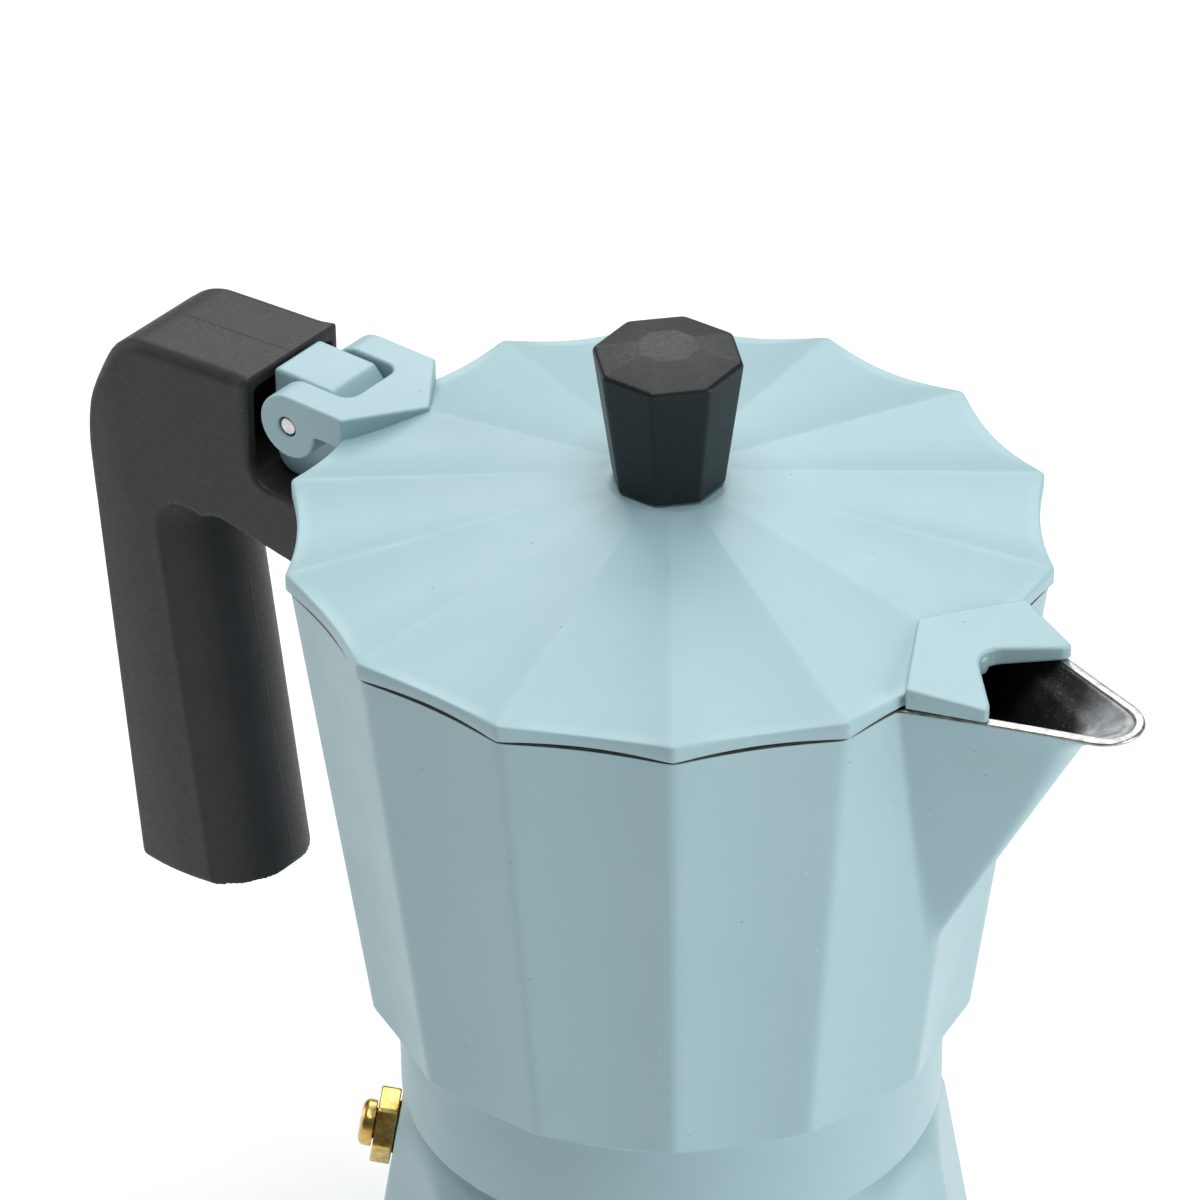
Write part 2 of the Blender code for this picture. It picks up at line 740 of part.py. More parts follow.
def make_chamber():
    past = 2 * MM
    low = WAIST_Z - past
    body = loft(
        "chamber_flutes",
        [
            fluted_ring(chamber_ridge(low), CHAMBER_SAG, low),
            fluted_ring(chamber_ridge(RIM_Z), CHAMBER_SAG, RIM_Z),
        ],
    )
    widest = RIM_R + 2 * past
    chamfer_end = WAIST_Z + WAIST_HEIGHT + (widest - WAIST_R) / CHAMFER_SLOPE
    envelope = turned(
        "chamber_envelope",
        [
            (0, RIM_Z + past),
            (widest, RIM_Z + past),
            (widest, chamfer_end),
            (WAIST_R, WAIST_Z + WAIST_HEIGHT),
            (WAIST_R, WAIST_Z),
            (0, WAIST_Z),
        ],
        steps=2 * TURN_STEPS,
    )
    column_top = CHAMBER_FLOOR_Z + COLUMN_HEIGHT
    hollow = turned(
        "chamber_hollow",
        [
            (0, RIM_Z + past),
            (chamber_hollow(RIM_Z + past), RIM_Z + past),
            (chamber_hollow(CHAMBER_FLOOR_Z + FLOOR_BEVEL), CHAMBER_FLOOR_Z + FLOOR_BEVEL),
            (chamber_hollow(CHAMBER_FLOOR_Z) - FLOOR_BEVEL, CHAMBER_FLOOR_Z),
            (COLUMN_FOOT_R, CHAMBER_FLOOR_Z),
            (COLUMN_TOP_R, column_top),
            (0, column_top),
        ],
    )
    skirt = turned(
        "skirt_hollow",
        [(0, CEILING_Z), (SKIRT_R, CEILING_Z), (SKIRT_R, WAIST_Z - past), (0, WAIST_Z - past)],
    )
    bore = cylinder("column_bore", COLUMN_BORE_R, CEILING_Z - past, column_top - COLUMN_SLOT / 2)
    half = COLUMN_SLOT / 2
    slot = box(
        "column_slot",
        (-COLUMN_FOOT_R, -half, column_top - 2 * COLUMN_SLOT),
        (COLUMN_FOOT_R, half, column_top - COLUMN_SLOT),
    )
    outside, inside = make_spout()
    upright = Matrix.Rotation(pi / 2, 4, "X")
    pin_hole = cylinder(
        "lug_pin_hole", PIN_R + GAP, -LUG_HALF - past, LUG_HALF + past,
        matrix=Matrix.Translation((PIN_X, 0, PIN_Z)) @ upright,
    )
    lug_foot = EDGE_Z - CAVITY_FLOOR_DROP
    screw_hole = cylinder(
        "lug_screw_hole", SCREW_R + GAP, lug_foot - past, lug_foot + HANDLE_SCREW_REACH + MM,
        matrix=Matrix.Translation((HANDLE_SCREW_X, 0, 0)),
    )
    shell = join(trim(body, envelope), outside, make_lug())
    part("pouring_chamber", cut(shell, hollow, inside, skirt, bore, slot, pin_hole, screw_hole), PAINT)


# Lid, knob and hinge


def lid_ring(share, z):
    """The lid's scalloped outline drawn in to a share of its size."""
    ring = fluted_ring(LID_R, LID_SAG, 0.0)
    return [(x * share, y * share, z) for x, y, _ in ring]


def cone_height(share):
    return EDGE_Z + LID_APEX * (1 - share)


def make_beak():
    """The plate over the spout, with a round-cornered notch between two horns. Its top slopes."""
    notch = BEAK_NOTCH_X + BEAK_NOTCH_R
    corner = BEAK_NOTCH_HALF
    edge = arc((notch, corner - BEAK_NOTCH_R / 2), BEAK_NOTCH_R, 135, 180, 3)
    half = [BEAK_ROOT, BEAK_HORN, HORN_INNER, *edge]
    outline = [(BEAK_APEX_X, 0.0), *[(x, -y) for x, y in half], *half[::-1]]
    low, high = LID_SEAT_Z + BEAK_UNDER, EDGE_Z
    beak = plate("beak", outline, low, high)
    for vertex in beak.data.vertices:
        if vertex.co.z > (low + high) / 2:
            vertex.co.z = EDGE_Z + BEAK_HEIGHT + BEAK_SLOPE * (vertex.co.x - BEAK_APEX_X)
    return beak


def make_lid():
    past = 2 * MM
    centre = (KNOB_FOOT_R + KNOB_LAND) / LID_R
    band = 1 - LID_SEAT_WIDTH / LID_R
    shell = loft(
        "lid_shell",
        [
            lid_ring(centre, cone_height(centre) - LID_WALL),
            lid_ring(band, cone_height(band) - LID_WALL),
            lid_ring(band + LID_SEAT_STEP / LID_R, LID_SEAT_Z),
            lid_ring(1, LID_SEAT_Z),
            lid_ring(1, EDGE_Z),
            lid_ring(centre, cone_height(centre)),
        ],
    )
    fork_low = LID_SEAT_Z + FORK_UNDER
    fork = plate(
        "fork",
        [
            (PIN_X, -FORK_HALF),
            (FORK_CORNER_X, -FORK_HALF),
            (FORK_APEX_X, 0.0),
            (FORK_CORNER_X, FORK_HALF),
            (PIN_X, FORK_HALF),
        ],
        fork_low,
        FORK_TOP_Z,
    )
    across = Matrix.Translation((PIN_X, 0, PIN_Z)) @ Matrix.Rotation(pi / 2, 4, "X")
    ears = cylinder("ears", EAR_R, -FORK_HALF, FORK_HALF, steps=32, matrix=across)
    pin_hole = cylinder("ear_pin_hole", PIN_R + GAP, -FORK_HALF - past, FORK_HALF + past, matrix=across)
    slot_half = LUG_HALF + LUG_CLEARANCE
    corner = 2 * MM
    slot = plate(
        "fork_slot",
        [
            (PIN_X - 2 * EAR_R, -slot_half),
            *arc((SLOT_END_X - corner, corner - slot_half), corner, -90, 0, 3),
            *arc((SLOT_END_X - corner, slot_half - corner), corner, 0, 90, 3),
            (PIN_X - 2 * EAR_R, slot_half),
        ],
        PIN_Z - 2 * EAR_R,
        FORK_TOP_Z + past,
    )
    screw_hole = cylinder("lid_screw_hole", SCREW_R + GAP, EDGE_Z - past, EDGE_Z + LID_APEX + past)
    part("lid", cut(join(shell, make_beak(), fork, ears), slot, pin_hole, screw_hole), PAINT)


def make_knob():
    seat = cone_height((KNOB_FOOT_R + KNOB_LAND) / LID_R) + GAP

    def ring(radius, z):
        turns = [KNOB_TURN + tau * i / KNOB_SIDES for i in range(KNOB_SIDES)]
        return [(radius * cos(a), radius * sin(a), z) for a in turns]

    top = seat + KNOB_HEIGHT
    rings = [ring(KNOB_FOOT_R, seat), ring(KNOB_TOP_R, top), ring(KNOB_CROWN_R, top + KNOB_CROWN)]
    knob = loft("knob_body", rings)
    bore = cylinder("knob_bore", SCREW_R + GAP, seat - MM, seat + KNOB_SCREW_REACH + MM)
    part("knob", cut(knob, bore), BLACK)

    under = seat - GAP - LID_WALL - GAP
    washer_low = under - WASHER_THICKNESS
    washer = turned(
        "washer_profile",
        [
            (WASHER_R, under),
            (WASHER_R, washer_low),
            (SCREW_R + GAP, washer_low),
            (SCREW_R + GAP, under),
        ],
        closed=True,
        steps=FINE_STEPS,
    )
    part("knob_washer", washer, STEEL)
    place = Matrix.Translation((0, 0, washer_low - GAP))
    make_screw("knob_screw", place, seat + KNOB_SCREW_REACH - washer_low)


def make_screw(name, matrix, reach):
    """A pan-head screw whose head's flat is at the frame's origin, with its shank along +Z."""
    screw = turned(
        name + "_profile",
        [
            (0, reach),
            (SCREW_R * 0.6, reach),
            (SCREW_R, reach - SCREW_R * 0.5),
            (SCREW_R, 0),
            (SCREW_HEAD_R, 0),
            (SCREW_HEAD_R, -SCREW_HEAD * 0.55),
            (SCREW_HEAD_R * 0.6, -SCREW_HEAD),
            (0, -SCREW_HEAD),
        ],
        steps=FINE_STEPS,
        matrix=matrix,
    )
    slot = box(
        name + "_slot",
        (-SCREW_HEAD_R - MM, -SCREW_SLOT / 2, -SCREW_HEAD - MM),
        (SCREW_HEAD_R + MM, SCREW_SLOT / 2, -SCREW_HEAD * 0.55),
    )
    slot.matrix_world = matrix
    return part(name, cut(screw, slot), STEEL)


def make_hinge_pin():
    across = Matrix.Translation((PIN_X, 0, PIN_Z)) @ Matrix.Rotation(pi / 2, 4, "X")
    half = FORK_HALF - PIN_RECESS
    part("hinge_pin", cylinder("pin", PIN_R, -half, half, matrix=across), STEEL)


# Handle


def make_handle():
    crown_top = EDGE_Z + HANDLE_CROWN_RISE
    crown_foot = crown_top - HANDLE_CROWN_DROP
    back = HANDLE_CROWN_X - HANDLE_BACK_X
    steps = 8
    curve = []
    for i in range(1, steps + 1):
        angle = pi / 2 * (1 + i / steps)
        draw_in = HANDLE_CROWN_FLATTEN if 1 < i < steps else 1.0
        x = HANDLE_CROWN_X + back * cos(angle) * draw_in
        curve.append((x, crown_foot + HANDLE_CROWN_DROP * sin(angle) * draw_in))
    arch = arc((GRIP_ARCH_X + ARCH_R, EDGE_Z - ARM_FLOOR_DROP - ARCH_R), ARCH_R, 180, 75, 5)
    mouth_floor = EDGE_Z - CAVITY_FLOOR_DROP
    corner = HANDLE_CORNER_R
    outline = [
        (HANDLE_MOUTH_X, EDGE_Z + HANDLE_MOUTH_RISE),
        (HANDLE_CROWN_X, crown_top),
        *curve,
        (GRIP_FOOT_BACK_X, EDGE_Z - GRIP_BACK_LENGTH),
        (GRIP_FOOT_FRONT_X, EDGE_Z - GRIP_FRONT_LENGTH),
        *arch,
        (-WAIST_R, EDGE_Z - ARM_ROOT_DROP),
        (-WAIST_R, mouth_floor),
        (HANDLE_MOUTH_X + corner, mouth_floor),
        *arc((HANDLE_MOUTH_X + corner, mouth_floor + corner), corner, -105, -180, 3),
    ]
    body = plate("handle_body", outline, -HANDLE_HALF, HANDLE_HALF, upright=True)
    bevel = body.modifiers.new("rounded_edges", "BEVEL")
    bevel.width = HANDLE_BEVEL
    bevel.segments = 2
    bevel.limit_method = "ANGLE"
    bevel.angle_limit = radians(60)
    wall = CAVITY_WALL
    cavity = box(
        "handle_cavity",
        (HANDLE_MOUTH_X - CAVITY_DEPTH, -HANDLE_HALF + wall, mouth_floor + wall),
        (HANDLE_MOUTH_X + MM, HANDLE_HALF - wall, crown_top - wall),
    )
    low, high = EDGE_Z - 2 * ARM_ROOT_DROP, EDGE_Z
    wall_cut = loft(
        "handle_wall_cut",
        [
            fluted_ring(chamber_ridge(low), CHAMBER_SAG, low, grow=ARM_CHAMBER_GAP),
            fluted_ring(chamber_ridge(high), CHAMBER_SAG, high, grow=ARM_CHAMBER_GAP),
        ],
    )
    place = Matrix.Translation((HANDLE_SCREW_X, 0, 0))
    head_z = mouth_floor - HANDLE_SCREW_SUNK
    hole = turned(
        "handle_screw_hole",
        [
            (0, mouth_floor + 2 * MM),
            (SCREW_R + GAP, mouth_floor + 2 * MM),
            (SCREW_R + GAP, head_z),
            (SCREW_HEAD_R + GAP, head_z),
            (SCREW_HEAD_R + GAP, head_z - ARM_ROOT_DROP),
            (0, head_z - ARM_ROOT_DROP),
        ],
        steps=FINE_STEPS,
        matrix=place,
    )
    part("handle", cut(body, cavity, wall_cut, hole), BLACK)
    head = head_z - GAP
    make_screw(
        "handle_screw",
        Matrix.Translation((HANDLE_SCREW_X, 0, head)),
        mouth_floor + HANDLE_SCREW_REACH - head,
    )


make_boiler()
make_valve()
make_funnel()
make_seal()
make_chamber()
make_lid()
make_knob()
make_hinge_pin()
make_handle()
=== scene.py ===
"""The looks of a six-cup stovetop moka pot: painted fluted castings, a polished spout, a black moulded
handle and knob, a brass safety valve, and the funnel, gasket and sieves inside.

Shapes are worked out in millimetres, as grids of points or as solids given by a signed distance, and their
heights come from the frame. A mesh is put into metres when it is made.
"""

from math import atan2, cos, pi, radians, sin, sqrt, tan, tau

import bpy
import numpy as np
from mathutils import Matrix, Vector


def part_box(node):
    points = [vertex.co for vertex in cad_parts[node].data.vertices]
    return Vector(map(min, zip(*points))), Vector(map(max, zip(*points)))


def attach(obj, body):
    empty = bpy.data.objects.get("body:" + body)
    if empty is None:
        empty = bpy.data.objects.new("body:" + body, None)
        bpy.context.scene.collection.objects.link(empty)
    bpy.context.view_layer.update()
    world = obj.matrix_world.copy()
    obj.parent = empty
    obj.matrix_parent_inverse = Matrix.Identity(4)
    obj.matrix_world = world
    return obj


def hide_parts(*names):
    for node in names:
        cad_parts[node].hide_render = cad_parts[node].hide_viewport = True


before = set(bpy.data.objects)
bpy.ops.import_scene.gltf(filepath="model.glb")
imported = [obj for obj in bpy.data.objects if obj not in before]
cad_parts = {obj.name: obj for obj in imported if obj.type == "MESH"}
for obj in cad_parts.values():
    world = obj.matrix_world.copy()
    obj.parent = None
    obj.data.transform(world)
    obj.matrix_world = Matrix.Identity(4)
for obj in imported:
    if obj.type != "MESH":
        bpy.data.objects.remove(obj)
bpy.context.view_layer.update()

MM = 0.001
FIT = 0.3  # gap between pieces that touch


def box(node):
    """Lowest and highest corner of a node of the frame, in millimetres."""
    low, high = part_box(node)
    return np.array(low) / MM, np.array(high) / MM


# Levels and places from the frame
NECK_TOP = box("boiler")[1][2]
WAIST_Z = box("pouring_chamber")[0][2]
SEAT_Z = WAIST_Z - FIT
PIN_LOW, PIN_HIGH = box("hinge_pin")
PIN_X, PIN_Z = (PIN_LOW[0] + PIN_HIGH[0]) / 2, (PIN_LOW[2] + PIN_HIGH[2]) / 2
PIN_DROP = 2.65  # of the pin's axis below the top of the lid's edge
EDGE_Z = PIN_Z + PIN_DROP
LID_EDGE = 2.7  # thickness of the lid's edge
LID_SEAT_Z = EDGE_Z - LID_EDGE
RIM_Z = LID_SEAT_Z - FIT
PLATE_LOW, PLATE_HIGH = box("filter_plate")
CEILING_Z = PLATE_HIGH[2] + FIT
CHAMBER_FLOOR = 3.4
CHAMBER_FLOOR_Z = CEILING_Z + CHAMBER_FLOOR
KNOB_Z = box("knob")[0][2]

# Fluting
FLUTES = 14
LID_R, LID_SAG, LID_DIP, LID_APEX, LID_WALL = 54.0, 1.3, 0.8, 8.7, 2.4
RIM_R, CHAMBER_SAG, CHAMBER_SOFTEN = 53.4, 0.9, radians(0.75)
CHAMBER_SLOPE = 9.4 / 73.0
CHAMFER_SLOPE = 4.6 / 3.1
WAIST_R, WAIST_HEIGHT = 39.4, 16.2
BOILER_BASE_R, BOILER_TOP_R, BOILER_SAG = 53.0, 39.6, 0.2
BOILER_SLOPE = (BOILER_BASE_R - BOILER_TOP_R) / SEAT_Z
BOILER_TURN = radians(-4.7)
SHOULDER_R, SHOULDER_SLOPE = 36.6, 0.62

# Neck and thread
NECK_R, NECK_BORE_R = 35.8, 32.4
THREAD_PITCH, THREAD_DEPTH, THREAD_CLEARANCE = 3.0, 0.9, 0.5
SKIRT_R = NECK_R + THREAD_CLEARANCE

# Spout
SPOUT_DEPTH, SPOUT_FOOT_X, SPOUT_KNEE_X, SPOUT_KNEE_DEPTH = 47.7, 46.6, 69.0, 6.0
SPOUT_TIP_X, SPOUT_ROOT_X, SPOUT_RISE = 76.4, 50.3, 1.1
SPOUT_NOSE_R, SPOUT_KEEL_R, SPOUT_ROOT_HALF = 5.6, 1.2, 13.4

# Column inside the chamber
COLUMN_FOOT_R, COLUMN_TOP_R, COLUMN_BORE_R, COLUMN_HEIGHT = 8.0, 5.6, 2.8, 62.0
COLUMN_HEAD = 12.0
COLUMN_TAPER = (COLUMN_FOOT_R - COLUMN_TOP_R) / COLUMN_HEIGHT

# Handle and hinge
HANDLE_HALF = 10.3
HANDLE_BULGE_R = 48.0  # roundness of the handle's sides towards its back
MOUTH_X = -68.4
LUG_HALF, FORK_HALF, EAR_R = 4.9, 10.5, 5.0
PIN_R = 1.3


# Outlines and fields


def rounded(corners, closed=False, steps=6):
    """A path through corners (across, up, radius). A corner with a radius becomes the arc of that radius
    that touches both of its straight sides."""
    points = []
    count = len(corners)
    for i, (x, y, radius) in enumerate(corners):
        if not radius or (not closed and i in (0, count - 1)):
            points.append((x, y))
            continue
        before = np.array(corners[i - 1][:2]) - (x, y)
        after = np.array(corners[(i + 1) % count][:2]) - (x, y)
        before, after = before / np.hypot(*before), after / np.hypot(*after)
        half = np.arccos(np.clip(before @ after, -1, 1)) / 2
        bisector = (before + after) / np.hypot(*(before + after))
        centre = np.array((x, y)) + bisector * radius / sin(half)
        start = np.array((x, y)) + before * radius / tan(half)
        end = np.array((x, y)) + after * radius / tan(half)
        first, last = atan2(*(start - centre)[::-1]), atan2(*(end - centre)[::-1])
        sweep = (last - first + pi) % tau - pi
        for share in np.linspace(0, 1, steps + 1):
            angle = first + sweep * share
            points.append((centre[0] + radius * cos(angle), centre[1] + radius * sin(angle)))
    return np.array(points)


def arc(x, y, radius, start, end, steps=12):
    """Corners along an arc, in degrees."""
    angles = np.radians(np.linspace(start, end, steps + 1))
    return [(x + radius * cos(a), y + radius * sin(a), 0) for a in angles]


def soft_max(a, b, width):
    """The larger of two fields, with the crease between them rounded over a width."""
    near = np.clip(1 - np.abs(a - b) / width, 0, None)
    return np.maximum(a, b) + width * near * near / 4


def soft_min(a, b, width):
    return -soft_max(-a, -b, width)


def ramp(value, low, high):
    """0 below low, 1 above high, and a smooth S between them."""
    t = np.clip((value - low) / (high - low), 0, 1)
    return t * t * (3 - 2 * t)


def outline(path, u, v):
    """Signed distance from points (u, v) to a closed path of straight sides, below zero inside it."""
    nearest = np.full(np.broadcast(u, v).shape, np.inf)
    inside = np.zeros(nearest.shape, bool)
    for (ax, ay), (bx, by) in zip(path, np.roll(path, -1, axis=0)):
        side_x, side_y = bx - ax, by - ay
        from_x, from_y = u - ax, v - ay
        length = max(side_x * side_x + side_y * side_y, 1e-12)
        along = np.clip((from_x * side_x + from_y * side_y) / length, 0, 1)
        nearest = np.minimum(nearest, (from_x - along * side_x) ** 2 + (from_y - along * side_y) ** 2)
        if side_y:
            inside ^= ((ay > v) != (by > v)) & (from_x < from_y * side_x / side_y)
    return np.where(inside, -1, 1) * np.sqrt(nearest)


def met(a, b, edge):
    """What two solids share, with the edge between them rounded to a radius."""
    a, b = a + edge, b + edge
    return np.minimum(np.maximum(a, b), 0) + np.hypot(np.maximum(a, 0), np.maximum(b, 0)) - edge


def less(a, b, edge):
    """The first solid without the second, with a rounded edge."""
    return met(a, -b, edge)


def flat_sided(angle, corner, sides, sag, soften):
    """Radius of a wall with flat sides between corners at a radius. Each side is hollowed by a parabola of
    depth sag, and each corner is rounded over a small angle: the angle from the nearest corner is replaced
    by the root of its square plus soften squared."""
    half = pi / sides
    away = np.abs((angle + half) % (2 * half) - half)
    away = np.sqrt(away * away + soften * soften)
    return corner * cos(half) / np.cos(half - away) - sag * (1 - ((half - away) / half) ** 2)


def fluted(angle, ridge, sag, soften):
    return flat_sided(angle, ridge, FLUTES, sag, soften)


# Meshes


def cut_angles(sides, steps, turn=0.0):
    """Angles round the axis, closer together near each corner of a flat-sided wall."""
    share = np.arange(steps) / steps
    share = 0.35 * share + 0.65 * (1 - np.cos(pi * share)) / 2
    return ((np.arange(sides)[:, None] + share) * tau / sides).ravel() + turn


def fill_mesh(name, points, faces, looks):
    """A smooth mesh, in metres, of points in millimetres and of faces that are rows of indices. looks lists
    (material, number of faces) in the order of the faces."""
    mesh = bpy.data.meshes.new(name)
    sizes = np.concatenate([np.full(len(block), block.shape[1]) for block in faces])
    corners = np.concatenate([block.ravel() for block in faces])
    mesh.vertices.add(len(points))
    mesh.vertices.foreach_set("co", (np.asarray(points) * MM).ravel())
    mesh.loops.add(len(corners))
    mesh.loops.foreach_set("vertex_index", corners.astype(np.int32))
    mesh.polygons.add(len(sizes))
    mesh.polygons.foreach_set("loop_start", (np.cumsum(sizes) - sizes).astype(np.int32))
    for material, _ in looks:
        if material.name not in mesh.materials:
            mesh.materials.append(material)
    slots = [np.full(count, mesh.materials.find(material.name)) for material, count in looks]
    mesh.polygons.foreach_set("material_index", np.concatenate(slots).astype(np.int32))
    mesh.update(calc_edges=True)
    mesh.validate()
    mesh.shade_smooth()
    obj = bpy.data.objects.new(name, mesh)
    bpy.context.collection.objects.link(obj)
    return obj


def skin(name, grid, looks, ring=False):
    """A closed surface through a grid of points (row, column, 3), whose columns run anticlockwise and close
    on themselves. Rows run up the outer side. They close too in a ring. Otherwise a fan closes the first
    row and the last. looks lists (material, first row)."""
    rows, columns = grid.shape[:2]
    index = np.arange(rows * columns).reshape(rows, columns)
    bands = np.vstack([index, index[:1]]) if ring else index
    right = np.roll(bands, -1, axis=1)
    quads = np.stack([bands[:-1], right[:-1], right[1:], bands[1:]], -1).reshape(-1, 4)
    points = grid.reshape(-1, 3)
    starts = [row for _, row in looks] + [len(bands) - 1]
    shares = [(look[0], (end - start) * columns) for look, start, end in zip(looks, starts, starts[1:])]
    faces = [quads]
    if not ring:
        low, high = np.full(columns, len(points)), np.full(columns, len(points) + 1)
        points = np.vstack([points, grid[0].mean(axis=0), grid[-1].mean(axis=0)])
        faces.append(np.stack([low, right[0], index[0]], -1))
        faces.append(np.stack([high, index[-1], right[-1]], -1))
        shares += [(looks[0][0], columns), (looks[-1][0], columns)]
    return fill_mesh(name, points, faces, shares)


def round_grid(angles, radius, height):
    """Points at radii and heights, each (rows, columns) or less, round the axis."""
    radius, height = np.broadcast_arrays(radius, height, np.empty((1, len(angles))))[:2]
    return np.stack([radius * np.cos(angles), radius * np.sin(angles), height], -1)


def turned(name, path, material, ring=False, steps=96, place=None):
    """A path of (radius, height) turned about Z, or about the Z of a place."""
    angles = np.arange(steps) * tau / steps
    grid = round_grid(angles, path[:, :1], path[:, 1:])
    if place is not None:
        grid = grid @ np.array(place)[:3, :3].T + np.array(place)[:3, 3]
    return skin(name, grid, [(material, 0)], ring)


def carved(name, field, spans, material):
    """The surface where a field of signed distance is zero. Space is cut into cells by planes across X, Y
    and Z. Each cell that the surface passes through holds one point, the mean of its crossings with the
    cell's edges, and each crossed edge gives one face between four cells. The points are then moved onto
    the surface along the field's slope."""
    axes = [np.concatenate([np.arange(a, b, step) for a, b, step in span]) for span in spans]
    x, y, z = np.meshgrid(*axes, indexing="ij", sparse=True)
    values = np.broadcast_to(field(x, y, z), [len(axis) for axis in axes])
    within = values < 0
    cells = [len(axis) - 1 for axis in axes]
    total, hits = np.zeros((*cells, 3)), np.zeros(cells)
    crossings = []
    for a in range(3):
        b, c = (a + 1) % 3, (a + 2) % 3
        v, w, cell_total, cell_hits = (
            np.moveaxis(block, (a, b, c), (0, 1, 2)) for block in (values, within, total, hits)
        )
        crossed = w[1:] != w[:-1]
        share = np.where(crossed, v[:-1] / np.where(crossed, v[:-1] - v[1:], 1), 0)
        at = [None, None, None]
        at[a] = axes[a][:-1, None, None] + share * np.diff(axes[a])[:, None, None]
        at[b], at[c] = axes[b][None, :, None], axes[c][None, None, :]
        for db in (0, 1):
            for dc in (0, 1):
                rows = slice(db, db + cells[b]), slice(dc, dc + cells[c])
                hit = crossed[:, rows[0], rows[1]]
                cell_hits += hit
                for k in range(3):
                    cell_total[..., k] += hit * np.broadcast_to(at[k], crossed.shape)[:, rows[0], rows[1]]
        inner = crossed[:, 1:-1, 1:-1]
        i, j, k = np.nonzero(inner)
        outward = w[:-1, 1:-1, 1:-1][inner]
        crossings.append((a, i, j, k, outward))
    number = np.full(cells, -1)
    full = hits > 0
    number[full] = np.arange(full.sum())
    points = total[full] / hits[full][:, None]
    quads = []
    for a, i, j, k, outward in crossings:
        turned_number = np.moveaxis(number, (a, (a + 1) % 3, (a + 2) % 3), (0, 1, 2))
        loop = [turned_number[i, j + dj, k + dk] for dj, dk in ((0, 0), (1, 0), (1, 1), (0, 1))]
        quad = np.stack(loop, -1)
        quads.append(np.where(outward[:, None], quad, quad[:, ::-1]))
    small, rounds, least_slope = 0.02, 3, 0.2
    most = min(np.diff(axis).min() for axis in axes)
    for _ in range(rounds):
        here = field(*points.T)
        slope = np.stack([field(*(points + small * step).T) - here for step in np.eye(3)], -1) / small
        move = -here[:, None] * slope / np.maximum((slope * slope).sum(axis=1), least_slope)[:, None]
        points = points + np.clip(move, -most, most)
    faces = np.concatenate(quads)
    return fill_mesh(name, points, [faces], [(material, len(faces))])


def show(piece, body, slot, *nodes):
    """Puts a finished piece on its body in place of nodes of the frame."""
    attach(piece, body)
    if nodes:
        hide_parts(*nodes)
    return piece


# Materials


class Finish:
    """A material built round one shader. Patterns are sized in millimetres."""

    def __init__(self, name, roughness, metallic=0.0, **sockets):
        self.material = bpy.data.materials.new(name)
        self.material.use_nodes = True
        self.nodes = self.material.node_tree.nodes
        self.links = self.material.node_tree.links
        self.shader = self.nodes["Principled BSDF"]
        self.shader.inputs["Roughness"].default_value = roughness
        self.shader.inputs["Metallic"].default_value = metallic
        for socket, value in sockets.items():
            self.shader.inputs[socket.replace("_", " ")].default_value = value
        self.place = self.nodes.new("ShaderNodeTexCoord").outputs["Object"]

    def add(self, kind, *links, **settings):
        """A new node. links are (input, output to take it from), and settings set its own values."""
        made = self.nodes.new("ShaderNode" + kind)
        for key, value in settings.items():
            setattr(made, key, value)
        for socket, source in links:
            if hasattr(source, "is_output"):
                self.links.new(source, made.inputs[socket])
            else:
                made.inputs[socket].default_value = source
        return made

    def noise(self, grain, detail=2.0, stretch=None):
        """Clouds whose features are about grain across."""
        place = self.place
        if stretch:
            place = self.add("Mapping", ("Vector", place), ("Scale", stretch)).outputs["Vector"]
        scale = ("Scale", 1 / (grain * MM))
        return self.add("TexNoise", ("Vector", place), scale, ("Detail", detail)).outputs["Fac"]

    def specks(self, spacing, size, share):
        """1 on round specks of a size, one to a cell of the spacing, in a share of the cells."""
        cells = self.add("TexVoronoi", ("Vector", self.place), ("Scale", 1 / (spacing * MM)))
        reach = size / spacing
        near = self.add("Math", (0, cells.outputs["Distance"]), (1, reach), operation="LESS_THAN")
        parts = self.add("SeparateColor", ("Color", cells.outputs["Color"]))
        chosen = self.add("Math", (0, parts.outputs["Red"]), (1, share), operation="LESS_THAN")
        return self.product(near.outputs[0], chosen.outputs[0])

    def between(self, value, low, high):
        """A value's 0.3 to 0.7 stretched from low to high."""
        settings = (("Value", value), (1, 0.3), (2, 0.7), (3, low), (4, high))
        return self.add("MapRange", *settings).outputs[0]

    def climb(self, value, low, high, start=0.0, end=1.0):
        """A value from low to high, in millimetres, turned into start to end."""
        settings = (("Value", value), (1, low * MM), (2, high * MM), (3, start), (4, end))
        return self.add("MapRange", *settings).outputs[0]

    def product(self, first, second):
        return self.add("Math", (0, first), (1, second), operation="MULTIPLY").outputs[0]

    def axis(self, name):
        return self.add("SeparateXYZ", ("Vector", self.place)).outputs[name]

    def mix(self, factor, first, second):
        made = self.nodes.new("ShaderNodeMix")
        made.data_type = "RGBA"
        for socket, value in ((0, factor), (6, first), (7, second)):
            if hasattr(value, "is_output"):
                self.links.new(value, made.inputs[socket])
            else:
                made.inputs[socket].default_value = value if socket == 0 else (*value, 1)
        return made.outputs[2]

    def colour(self, source):
        self.links.new(source, self.shader.inputs["Base Color"])

    def roughness(self, source):
        self.links.new(source, self.shader.inputs["Roughness"])

    def bump(self, height, depth, strength=1.0):
        """Raises the surface by depth, in millimetres, where height is 1."""
        before = self.shader.inputs["Normal"].links
        links = [("Height", height), ("Distance", depth * MM), ("Strength", strength)]
        if before:
            links.append(("Normal", before[0].from_socket))
        made = self.add("Bump", *links)
        self.links.new(made.outputs["Normal"], self.shader.inputs["Normal"])


